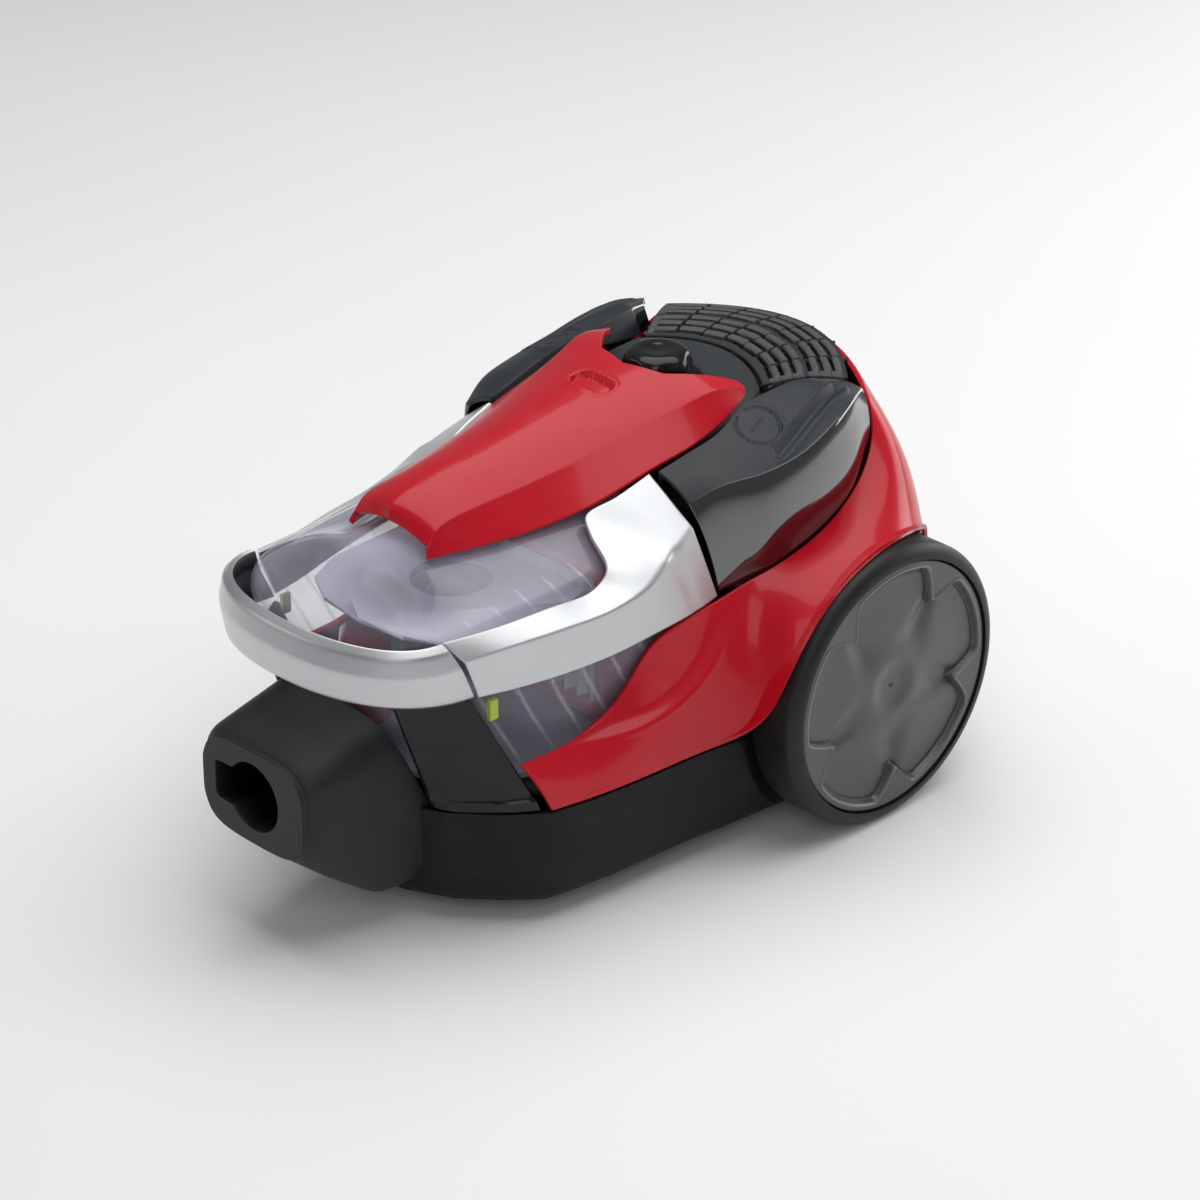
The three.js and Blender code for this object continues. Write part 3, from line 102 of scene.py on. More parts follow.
def settled_across(grid, spread):
    """The same along the second axis."""
    return np.swapaxes(settled(np.swapaxes(grid, 0, 1), spread), 0, 1)


def rails(stations, u, spread=0):
    """All edge lines of a skin at once: rows are u, then the lines, then x y z."""
    return settled(spline(stations, u), spread)


def bend(a, b, c, t):
    """Curve from a to c that is pulled towards b: (1-t)^2 a + 2t(1-t) b + t^2 c."""
    return (1 - t) ** 2 * a + 2 * t * (1 - t) * b + t ** 2 * c


def step(low, high, x):
    """0 below low, 1 above high, with a soft S between them."""
    t = np.clip((x - low) / (high - low), 0, 1)
    return t * t * (3 - 2 * t)


def rounded(points, times=3, share=0.22, loop=True):
    """Outline with soft corners: each pass puts two points on every side, a share from its ends."""
    p = np.asarray(points, float)
    for _ in range(times):
        q = np.roll(p, -1, axis=0)
        if not loop:
            q, a = p[1:], p[:-1]
            mid = np.stack([a + share * (q - a), q - share * (q - a)], 1).reshape(-1, p.shape[-1])
            p = np.concatenate([p[:1], mid[1:-1], p[-1:]])
            continue
        p = np.stack([p + share * (q - p), q - share * (q - p)], 1).reshape(-1, p.shape[-1])
    return p


def leaning(x, eta, z):
    """Point of a face that leans with the lift of the dust case; eta is its y at LIFT_LEVEL."""
    return np.stack(np.broadcast_arrays(x, eta - LIFT_SLOPE * (z - LIFT_LEVEL), z), -1)


def mirror(points):
    return np.asarray(points, float) * [-1, 1, 1]


def unit(v):
    return v / np.maximum(np.linalg.norm(v, axis=-1, keepdims=True), 1e-9)


# ---- meshes ----
def quads(rows, cols, wrap_u=False, first=0):
    i, j = np.meshgrid(np.arange(rows if wrap_u else rows - 1), np.arange(cols - 1), indexing="ij")
    k = (i + 1) % rows
    return first + np.stack([i * cols + j, k * cols + j, k * cols + j + 1, i * cols + j + 1],
                            -1).reshape(-1, 4)


def volume_of(p, f):
    a, b, c, d = (p[f[:, k]] for k in range(4))
    return (np.einsum("ij,ij->i", a, np.cross(b, c)) + np.einsum("ij,ij->i", a, np.cross(c, d))).sum()


def placed(name, data):
    obj = bpy.data.objects.new(name, data)
    bpy.context.scene.collection.objects.link(obj)
    return obj


def finished(name, mesh, material, body, replaced, sharp, merge, thin=0):
    """Merges near points, drops slivers, shades smooth up to an angle and rides the piece."""
    bm = bmesh.new()
    bm.from_mesh(mesh)
    bmesh.ops.remove_doubles(bm, verts=bm.verts, dist=merge)
    if thin:
        bmesh.ops.dissolve_degenerate(bm, edges=bm.edges, dist=thin)
    bm.to_mesh(mesh)
    bm.free()
    mesh.polygons.foreach_set("use_smooth", [True] * len(mesh.polygons))
    mesh.set_sharp_from_angle(angle=math.radians(sharp))
    mesh.materials.clear()
    mesh.materials.append(material)
    obj = placed(name, mesh)
    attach(obj, body)
    if replaced:
        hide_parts(*replaced)


def piece(name, points, faces, material, body, replaced, sharp=34, values=None):
    """New piece from points (mm), faces and, if given, a relief value per point."""
    if volume_of(points, faces) < 0:
        faces = faces[:, ::-1]
    mesh = bpy.data.meshes.new(name)
    mesh.from_pydata((points * MM).tolist(), [], faces.tolist())
    if values is not None:
        mesh.attributes.new("relief", "FLOAT", "POINT").data.foreach_set(
            "value", values.astype(np.float32))
    finished(name, mesh, material, body, replaced, sharp, 2e-6, 1e-7)


def evened(p, edge, axis):
    """Moves the points of each line along an axis so that the end spans are as long as the edge
    asks for and the rest are even."""
    q = np.moveaxis(p, axis, 1)
    rows, cols = q.shape[:2]
    run = np.concatenate([np.zeros((rows, 1)),
                          np.cumsum(np.linalg.norm(np.diff(q, axis=1), axis=-1), 1)], 1)
    whole = np.maximum(run[:, -1:], 1e-6)
    lip = np.minimum(edge, whole * 0.25)
    want = np.concatenate([np.zeros((rows, 1)),
                           lip + (whole - 2 * lip) * np.linspace(0, 1, cols - 2), whole], 1)
    lift = np.arange(rows)[:, None] * (run.max() + 10)
    flat = (run + lift + np.arange(cols) * 1e-9).ravel()
    out = np.stack([np.interp((want + lift).ravel(), flat, q[..., k].ravel()) for k in range(3)], -1)
    return np.moveaxis(out.reshape(q.shape), 1, axis)


def moulded(p, wall=WALL, edge=0.9, even=True):
    """Closed moulding of even wall behind an outer face given on a grid. The rim is rounded: it
    leaves the face on a quarter circle of radius edge, then drops to the inner face."""
    if even:
        p = evened(evened(p, 1.9 * edge, 1), 1.9 * edge, 0)
    du, dv = np.gradient(p, axis=0), np.gradient(p, axis=1)
    normal = unit(np.cross(du, dv))
    out_u, out_v = unit(du), unit(dv)
    k = RIM_STEPS
    turn = np.concatenate([[90], np.linspace(90, 0, k + 1)[:-1]])
    angles = lambda n: np.radians(np.concatenate([turn, np.zeros(n), turn[::-1]]))
    rows_of = lambda n: np.r_[[0] * (k + 1), np.arange(n), [n - 1] * (k + 1)]
    side_of = lambda a: np.where(np.arange(len(a)) < len(a) / 2, -1, 1)
    au, av = angles(p.shape[0]), angles(p.shape[1])
    iu, iv = rows_of(p.shape[0]), rows_of(p.shape[1])
    # the face's own last row stands one edge radius in from the rim
    on_u = (iu == 0) | (iu == p.shape[0] - 1)
    on_v = (iv == 0) | (iv == p.shape[1] - 1)
    at = np.ix_(iu, iv)
    push_u = (side_of(au) * on_u * edge * (np.sin(au) - 1))[:, None, None]
    push_v = (side_of(av) * on_v * edge * (np.sin(av) - 1))[None, :, None]
    flat = p[at] + out_u[at] * push_u + out_v[at] * push_v
    depth = edge * (1 - np.minimum.outer(np.cos(au), np.cos(av)))
    depth[[0, -1], :] = wall
    depth[:, [0, -1]] = wall
    outer, inner = flat - normal[at] * depth[..., None], flat - normal[at] * wall
    rows, cols = outer.shape[:2]
    faces = np.concatenate([quads(rows, cols), quads(rows, cols, first=rows * cols)[:, ::-1]])
    return np.concatenate([outer.reshape(-1, 3), inner.reshape(-1, 3)]), faces


def with_rims(values):
    """A value per point of a face, repeated over the rim and the inner face that moulded adds."""
    ends = lambda n: np.r_[[0] * (RIM_STEPS + 1), np.arange(n), [n - 1] * (RIM_STEPS + 1)]
    full = values[np.ix_(ends(values.shape[0]), ends(values.shape[1]))].ravel()
    return np.concatenate([full, full])


def carried(rings):
    """Solid through closed rings (first axis: ring, second: around), ends closed to a point."""
    rings = np.asarray(rings, float)
    cap = lambda r: np.broadcast_to(r.mean(0), r.shape)[None]
    rings = np.concatenate([cap(rings[0]), rings, cap(rings[-1])])
    p = np.swapaxes(rings, 0, 1)
    return p.reshape(-1, 3), quads(p.shape[0], p.shape[1], wrap_u=True)


def turned(profile, centre, axis="x", segments=160, wobble=None):
    """Profile of (radius, run) pairs turned about the x or z axis through the centre. wobble may
    change radius and run by angle."""
    profile = np.asarray(profile, float)
    angle = np.arange(segments) * 2 * math.pi / segments
    a, r = np.meshgrid(angle, profile[:, 0], indexing="ij")
    run = np.broadcast_to(profile[:, 1], a.shape).copy()
    if wobble is not None:
        r, run = wobble(a, r, run)
    c, s = r * np.cos(a), r * np.sin(a)
    x, y, z = {"x": (run, c, s), "z": (c, s, run)}[axis]
    p = np.stack([x, y, z], -1) + np.asarray(centre, float)
    return p.reshape(-1, 3), quads(*p.shape[:2], wrap_u=True)


# ---- finishes ----
class Tap:
    """One output socket of a shader tree; arithmetic on it adds the Math nodes."""

    def __init__(self, recipe, socket):
        self.recipe, self.socket = recipe, socket

    def _math(self, operation, *values):
        return self.recipe.node("ShaderNodeMath", {"operation": operation},
                                dict(enumerate(values)))[0]

    def __add__(self, other):
        return self._math("ADD", self, other)

    def __mul__(self, other):
        return self._math("MULTIPLY", self, other)

    def __sub__(self, other):
        return self._math("SUBTRACT", self, other)

    def __rsub__(self, other):
        return self._math("SUBTRACT", other, self)

    def __pow__(self, other):
        return self._math("POWER", self, other)

    __radd__, __rmul__ = __add__, __mul__


class Recipe:
    """A material being made: node() takes a type, its settings and its sockets' values."""

    def __init__(self, name):
        self.material = bpy.data.materials.new(name)
        self.material.use_nodes = True
        self.tree = self.material.node_tree
        self.tree.nodes.clear()
        self.place = self.node("ShaderNodeTexCoord")["Object"]

    def node(self, kind, settings=None, sockets=None):
        made = self.tree.nodes.new(kind)
        for key, value in (settings or {}).items():
            if key == "stops":
                ramp = made.color_ramp
                for i, (where, colour) in enumerate(value):
                    stop = ramp.elements[i] if i < 2 else ramp.elements.new(where)
                    stop.position, stop.color = where, (*colour, 1)
            else:
                setattr(made, key, value)
        for key, value in (sockets or {}).items():
            if isinstance(value, Tap):
                self.tree.links.new(value.socket, made.inputs[key])
            else:
                made.inputs[key].default_value = value
        outs = {o.name: Tap(self, o) for o in made.outputs if o.enabled}
        outs.update(dict(enumerate(outs[k] for k in list(outs))))
        return outs

    def noise(self, scale, detail=2, rough=0.5, place=None):
        return self.node("ShaderNodeTexNoise", {}, {
            "Vector": place or self.place, "Scale": scale, "Detail": detail, "Roughness": rough})[0]

    def spread(self, value, low, high, to_low=0.0, to_high=1.0):
        return self.node("ShaderNodeMapRange", {"clamp": True}, {
            "Value": value, "From Min": low, "From Max": high, "To Min": to_low,
            "To Max": to_high})["Result"]

    def mix(self, factor, a, b):
        made = self.tree.nodes.new("ShaderNodeMix")
        made.data_type = "RGBA"
        for index, value in ((0, factor), (6, a), (7, b)):
            if isinstance(value, Tap):
                self.tree.links.new(value.socket, made.inputs[index])
            else:
                made.inputs[index].default_value = value if index == 0 else (*value, 1)
        return Tap(self, made.outputs[2])

    def bump(self, strength, distance, height):
        return self.node("ShaderNodeBump", {}, {
            "Strength": strength, "Distance": distance, "Height": height})["Normal"]

    def attribute(self, name):
        return self.node("ShaderNodeAttribute", {"attribute_name": name})["Fac"]

    def done(self, **sockets):
        shader = self.node("ShaderNodeBsdfPrincipled", {}, {
            key.replace("_", " "): (*value, 1) if isinstance(value, tuple) and len(value) == 3
            else value for key, value in sockets.items()})["BSDF"]
        self.node("ShaderNodeOutputMaterial", {}, {"Surface": shader})
        return self.material


def plastic(name, colour, rough, grain=0.0, grain_size=0.6, coat=0.0, metal=0.0, shade=0.08,
            relief=None, coat_rough=0.06, wear=0.35, specular=0.5):
    """Moulded plastic: cloudy colour, worn and dusty patches that dull the gloss, faint streaks
    of handling, and a moulded grain of the given size in millimetres as bump. relief is the
    colour taken where the value stored on the surface is 1; on the nose, grille and hub that
    value marks painted shade or a painted highlight."""
    r = Recipe(name)
    cloud = r.noise(14, 3)
    dust = r.spread(r.noise(55, 5, 0.62), 0.52, 0.78)
    long_place = r.node("ShaderNodeMapping", {}, {"Vector": r.place, "Scale": (1, 0.12, 1)})[0]
    streak = r.spread(r.noise(160, 4, 0.7, long_place), 0.55, 0.8)
    deep = tuple(c * (1 - shade) for c in colour)
    light = tuple(min(1, c * (1 + shade) + 0.004) for c in colour)
    tone = r.mix(r.spread(cloud, 0.3, 0.7), deep, light)
    tone = r.mix(dust * (0.05 * wear), tone, (0.42, 0.4, 0.37))
    if relief is not None:
        mask = r.attribute("relief")
        tone = r.mix(mask, tone, relief)
    roughness = r.spread(cloud, 0.25, 0.75, rough * 0.9, rough * 1.1)
    roughness = roughness + dust * (0.1 * wear) + streak * (0.07 * wear)
    fine = r.noise(1000 / grain_size, 2, 0.6)
    wide = r.noise(38, 2)
    height = fine * grain + wide * 0.012
    normal = r.bump(0.35, 0.0009, height)
    return r.done(Base_Color=tone, Roughness=roughness, Metallic=metal, Normal=normal,
                  Coat_Weight=coat, Coat_Roughness=coat_rough, Specular_IOR_Level=specular, IOR=1.5)


def clear_plastic(name, colour, base, edge, ribs=False):
    """See-through plastic: thin where faced, denser and glossier where seen edge-on, with fine
    flow marks and dust that clouds it a little."""
    r = Recipe(name)
    cloud = r.noise(18, 3)
    haze = r.spread(r.noise(70, 5, 0.65), 0.5, 0.8)
    facing = r.node("ShaderNodeLayerWeight", {}, {"Blend": 0.35})["Facing"]
    tone = r.mix(r.spread(cloud, 0.3, 0.7), tuple(c * 0.9 for c in colour), colour)
    alpha = (facing ** 2.0) * edge + base + haze * 0.05
    if ribs:
        # thin slanted ribs moulded inside both flanks, and a painted milky sheen where the case faces
        # up
        pitch = 0.019
        axes = r.node("ShaderNodeSeparateXYZ", {}, {"Vector": r.place})
        across = r.node("ShaderNodeMath", {"operation": "ABSOLUTE"}, {0: axes[0]})[0]
        turn = (axes[1] + axes[2] * 0.55) * (1 / pitch)
        saw = r.node("ShaderNodeMath", {"operation": "FRACT"}, {0: turn})[0]
        line = r.spread(saw, 0.0, 0.05) * r.spread(saw, 0.14, 0.09)
        flank = r.spread(across, 0.060, 0.068) * r.spread(axes[2], 0.189, 0.184)
        alpha = alpha + line * flank * 0.16 + r.attribute("relief") * 0.2
    normal = r.bump(0.12, 0.0012, r.noise(30, 2))
    return r.done(Base_Color=tone, Roughness=haze * 0.08 + 0.05, Alpha=alpha, Normal=normal,
                  Coat_Weight=1.0, Coat_Roughness=0.02, IOR=1.5, Specular_IOR_Level=0.8)


RED = plastic("signal_red_gloss", (0.52, 0.0025, 0.013), 0.32, 0.02, coat=0.28, coat_rough=0.09,
              shade=0.04, specular=0.2)
SILVER = plastic("satin_silver_paint", (0.60, 0.61, 0.62), 0.34, 0.2, 0.25, coat=0.3, metal=0.7,
                 shade=0.02, coat_rough=0.2)
HOOP = plastic("satin_silver_hoop", (0.58, 0.59, 0.60), 0.32, 0.2, 0.25, coat=0.3, metal=0.8,
               shade=0.02, coat_rough=0.2, relief=(0.01,) * 3)
# relief colour here is the painted shade deep in the hose port
NOSE = plastic("charcoal_matte_plastic", (0.012, 0.014, 0.0155), 0.46, 0.5, 0.35, specular=0.3,
               relief=(0.001,) * 3)
SKIRT = plastic("black_skirt_plastic", (0.0085, 0.0085, 0.008), 0.52, 0.6, 0.4, specular=0.18)
SLATE = plastic("slate_deck_plastic", (0.018, 0.022, 0.026), 0.42, 0.4, 0.35, specular=0.3,
                relief=(0.003,) * 3)
GLOSS = plastic("black_piano_gloss", (0.003, 0.0033, 0.0038), 0.12, 0.01, coat=0.12,
                coat_rough=0.04, wear=0.4, specular=0.28)
# relief colour here is the painted shade in the grille's slots and cuts
GRILLE = plastic("grille_slate_plastic", (0.07, 0.073, 0.077), 0.42, 0.35, 0.35, specular=0.35,
                 relief=(0.002,) * 3)
TYRE = plastic("tyre_black_satin", (0.010, 0.010, 0.010), 0.42, 0.25, 0.4, specular=0.3)
# relief colour here is the painted highlight along the hub's lip
HUB = plastic("hub_warm_grey", (0.042, 0.041, 0.039), 0.30, 0.3, 0.35, coat=0.3, coat_rough=0.25,
              relief=(0.19, 0.188, 0.18), specular=0.6)
RIM = plastic("rim_dark_plastic", (0.01, 0.01, 0.01), 0.5, 0.4, specular=0.3)
INNER = plastic("inner_black_plastic", (0.006, 0.006, 0.0065), 0.5, 0.3, specular=0.3)
CLEAR = clear_plastic("clear_lavender_case", (0.70, 0.71, 0.86), 0.07, 0.62, ribs=True)
DOOR = clear_plastic("clear_case_door", (0.6, 0.6, 0.72), 0.3, 0.5)
PURPLE = plastic("plum_separator", (0.13, 0.05, 0.15), 0.2, 0.02, coat=0.5)
FROST = plastic("frosted_separator", (0.60, 0.59, 0.70), 0.3, 0.1, coat=0.3)
DUCT = plastic("wine_red_duct", (0.42, 0.012, 0.035), 0.25, 0.02, coat=0.4)
PAPER = plastic("filter_paper", (0.85, 0.85, 0.84), 0.85, 1.0, 0.5, shade=0.05)
STEEL = plastic("drawn_steel", (0.55, 0.56, 0.58), 0.3, 0.2, 0.3, metal=1.0, shade=0.06)
COPPER = plastic("wound_copper", (0.45, 0.2, 0.08), 0.4, 0.8, 1.2, metal=0.7, shade=0.2)
RUBBER = plastic("black_rubber", (0.010, 0.010, 0.010), 0.75, 0.7, 0.5, specular=0.3)
BOARD = plastic("green_board", (0.02, 0.12, 0.05), 0.4, 0.3, 0.8, shade=0.2)
LIME = plastic("lime_latch", (0.36, 0.48, 0.015), 0.3, 0.05, coat=0.3)
REEL = plastic("reel_grey", (0.05, 0.05, 0.048), 0.45, 0.4)


def pedal_finish():
    """Pedal skin: matte slate where it faces up, polished black on its flank and its rear end,
    told apart by the relief value stored on the surface (1 on the polished faces)."""
    r = Recipe("pedal_slate_and_gloss")
    mask = r.attribute("relief")
    cloud = r.noise(14, 3)
    dust = r.spread(r.noise(60, 5, 0.62), 0.55, 0.8)
    slate = r.mix(r.spread(cloud, 0.3, 0.7), (0.018, 0.022, 0.026), (0.023, 0.027, 0.031))
    tone = r.mix(mask, slate, (0.003, 0.0035, 0.004))
    rough = (1 - mask) * 0.3 + 0.13 + dust * 0.03
    fine = r.noise(2800, 2, 0.6)
    height = fine * (1 - mask) * 0.4 + r.noise(30, 2) * 0.02
    normal = r.bump(0.35, 0.0009, height)
    return r.done(Base_Color=tone, Roughness=rough, Normal=normal, Coat_Weight=mask * 1.0,
                  Coat_Roughness=0.04, Coat_IOR=2.1, Specular_IOR_Level=0.35)


PEDAL = pedal_finish()

# ---- red body shell ----
def on_arch(degrees, x):
    a = math.radians(degrees)
    return (x, AXLE_Y - ARCH_RADIUS * math.cos(a), AXLE_Z + ARCH_RADIUS * math.sin(a))


def over_arch(x, y, rise):
    return (x, y, ARCH_TOP + rise)


# front to rear: lower edge, belly that pulls the skin outwards, upper edge
BODY = [
    [(98, -107, 72), (98, -114, 88), (91, -121, 102)],
    [(103, -85, 72), (101, -87, 88), (91, -89, 100.5)],
    [(106, -62, 72), (106, -62, 95), (92, -62, 106)],
    [(107.5, -45, 72), (108, -45, 105), (92.5, -45, 121)],
    [(108.5, -30, 72), (110, -32, 112), (95, -34, 140)],
    [(110, -8, 72), (113, -8, 112), (98, -10, 145.6)],
    [(113, 10, 72), (116, 12, 115), (97, 17, 147.6)],
    [on_arch(4, 129), (125, 25, 118), (100, 31, 153)],
    [on_arch(22, 137), (130, 30, 142), (103, 44, 156)],
    [on_arch(50, 138), over_arch(127, 52, -5), over_arch(104, 62, -4)],
    [on_arch(80, 137), over_arch(122, 88, 4), over_arch(103, 87, 1)],
    [on_arch(108, 131), over_arch(118, 120, 10), over_arch(98, 117, 13)],
    [on_arch(125, 118.5), over_arch(113, 140, 18), over_arch(91, 136, 28)],
    [on_arch(134, 110), over_arch(107, 153, 20), over_arch(85, 143, 42)],
    [(104, 169, 100), over_arch(100, 171, 15), over_arch(78, 147, 51)],
    [(90, 191, 72), over_arch(86, 188, -5), (67, 154, 218.5)],
    [(68, 206.5, 72), (66, 204, 150), (51, 163, 220.5)],
    [(38, 217, 72), (40, 217, 150), (31, 172, 222)],
    [(0, 222, 72), (0, 222, 150), (0, 178, 222)],
]


def body_shell():
    """Skin of the red body. Along u the three edge lines run from the right front round the back
    to the left front; across v each column is a curve from the lower to the upper edge, pulled
    towards the belly line. A soft scoop is pressed in beside the dust case."""
    count = 480
    whole = np.array(BODY + [[mirror(p) for p in s] for s in BODY[-2::-1]], float)
    along = np.linspace(0, 1, count)
    edges = rails(whole, along, 7)
    low, belly, high = edges[:, 0, None], edges[:, 1, None], edges[:, 2, None]
    t = np.linspace(0, 1, 76)[None, :, None]
    skin = bend(low, belly, high, t)
    x, y, z = np.moveaxis(skin, -1, 0)
    reach = np.where(y > -60, 75, 120)
    inside = 1 - ((y + 60) / reach) ** 2 - ((np.minimum(z, 150) - 150) / 52) ** 2
    scoop = 5.5 * step(0, 0.26, inside) * (1 - t[..., 0] ** 4) * (y < 16)
    sign = np.sign(x)
    skin[..., 0] -= sign * scoop
    lip = 0.5 * np.exp(-(inside / 0.07) ** 2) * (1 - t[..., 0] ** 6) * (y < 30) * (z < 146)
    skin[..., 0] += sign * lip
    # the lower edge turns in: to the wheel well round the arch, by a small lip elsewhere
    foot = edges[:, 0]
    arch = (np.hypot(foot[:, 1] - AXLE_Y, foot[:, 2] - AXLE_Z) < ARCH_RADIUS + 3) & (foot[:, 2] > 74)
    turn_in = np.where(arch[:, None], foot * [0, 1, 1] + np.sign(foot[:, :1]) * [WELL_X + 1, 0, 0],
                       foot * [0.965, 0.988, 1])
    turn_in = settled(turn_in, 1.5)
    s = np.array([0, 0.3, 0.6, 0.85, 0.95, 0.99])[None, :, None]
    flange = turn_in[:, None] + (foot - turn_in)[:, None] * s
    p = np.concatenate([flange, skin], 1)
    return moulded(p, WALL, 0.9, even=False)


points, faces = body_shell()
piece("red_body_shell", points, faces, RED, "chassis", ["body_shell"])

# ---- silver hoop, trims and pillars ----
PARTING_ETA = -157
HOOP_SECTION = [(0, 178, 176), (2, 179.5, 177), (6, 176, 173.5), (9.5, 165, 162), (8.5, 150, 144),
                (5.5, 147.5, 141), (4.5, 152, 147), (5.5, 165, 162)]


def front_hoop():
    """Section carried round a flattened half ellipse in plan; it sits lower towards its ends.
    The third result is 1 on the inner wall, which is dark."""
    t = np.linspace(0, 1, 200)[:, None]
    section = rounded(HOOP_SECTION, 3, 0.1)
    out, middle, end = section[None, :, 0], section[None, :, 1], section[None, :, 2]
    ends = np.abs(2 * t - 1) ** 2
    angle = math.pi * (t - 0.5)
    soft = lambda v: np.sign(v) * np.abs(v) ** 0.9
    x = -(70 + out) * soft(np.sin(angle))
    eta = PARTING_ETA - (39 + out) * soft(np.cos(angle))
    z = middle + (end - middle) * ends
    points, faces = carried(leaning(x, eta + LIFT_SLOPE * (z - LIFT_LEVEL) * (1 - ends), z))
    depth = np.broadcast_to(step(1.5, -1.5, out - 5.6) * step(178, 172, middle), z.shape)
    around = np.swapaxes(np.concatenate([depth[:1], depth, depth[-1:]]), 0, 1)
    return points, faces, around.ravel()


points, faces, inner_wall = front_hoop()
piece("silver_front_hoop", points, faces, HOOP, "chassis", ["front_hoop"], 40,
      inner_wall)

TRIM = [
    [(79, -138.6, 142), (80.5, -148, 168), (70.5, -155, 176.5)],
    [(84, -118, 141), (87, -119, 170), (74.5, -120, 174.5)],
    [(91, -90, 141.5), (93, -90, 171), (78, -90, 174.8)],
    [(96, -60, 143), (97, -60, 172), (80, -60, 175)],
    [(98, -30, 145.5), (99, -36, 176), (78.5, -49, 182.5)],
    [(98.5, -10, 147), (99, -18, 186), (61, -44, 194)],
    [(98, -3, 147.5), (97.5, -12, 188), (54, -40, 200.2)],
    [(97.5, 4, 148), (96, -6, 190), (58, -22, 206)],
    [(96, 15, 149), (93, 2, 194), (60, 0, 212.5)],
]


def side_trim():
    """Band from the parting to the deck, between its lower and upper edge lines. A curve pulled
    outwards joins them, drawn towards a bent line so that a crease runs along the band."""
    edges = rails(TRIM, np.linspace(0, 1, 200), 1.2)
    t = np.linspace(0, 1, 60)[None, :, None]
    low, pull, high = edges[:, 0, None], edges[:, 1, None], edges[:, 2, None]
    p = bend(low, pull, high, t)
    # the section is drawn towards a bent line through its knee, which makes the crease crisp
    middle = (low + high) / 2
    knee = middle + (pull - middle) * 0.74
    bent = np.where(t < 0.5, low + (knee - low) * 2 * t, knee + (high - knee) * (2 * t - 1))
    p = p + (bent - p) * 0.9
    return moulded(settled_across(p, 1.1), 2.4, 1.1)


points, faces = side_trim()
for side, turn_over in HANDS:
    piece(f"silver_trim_{side}", points * [turn_over, 1, 1], faces, SILVER, "dust_case",
          [f"side_trim_{side}"], 50)


def pillar():
    """Leaning post: one rounded section at the foot, a smaller one under the hoop, ruled between
    them, with a low ledge round its base."""
    rear = PARTING_ETA - 0.8
    foot = [(70.5, rear), (96, rear), (86, -172), (66, -192), (52, -198), (50.5, -187), (61, -176)]
    head = [(70.5, rear, 140), (75.5, rear, 139.5), (69, -168, 140), (58, -180, 141.5),
            (49, -188, 144), (45.5, -186.5, 144), (61, -174.5, 141)]
    foot_ring = lambda z: np.array([(x, e, z) for x, e in foot], float)
    top = np.array(head, float)
    levels = [(72.6, 0), (78.4, 0), (79.5, 0.05), (80.6, 0.10)] + \
        [(80.6 + 61 * k, 0.10 + 0.9 * k) for k in np.linspace(0.05, 1, 16)]
    rings = []
    for z, w in levels:
        ring = foot_ring(z) * (1 - w) + top * w
        ring[:, 2] = z + (top[:, 2] - 141.6) * w
        soft = rounded(ring, 3, 0.14)
        rings.append(leaning(soft[:, 0], soft[:, 1], soft[:, 2]))
    return carried(rings)


points, faces = pillar()
for side, turn_over in HANDS:
    piece(f"gloss_pillar_{side}", points * [turn_over, 1, 1], faces, GLOSS, "chassis",
          [f"front_pillar_{side}"], 38)


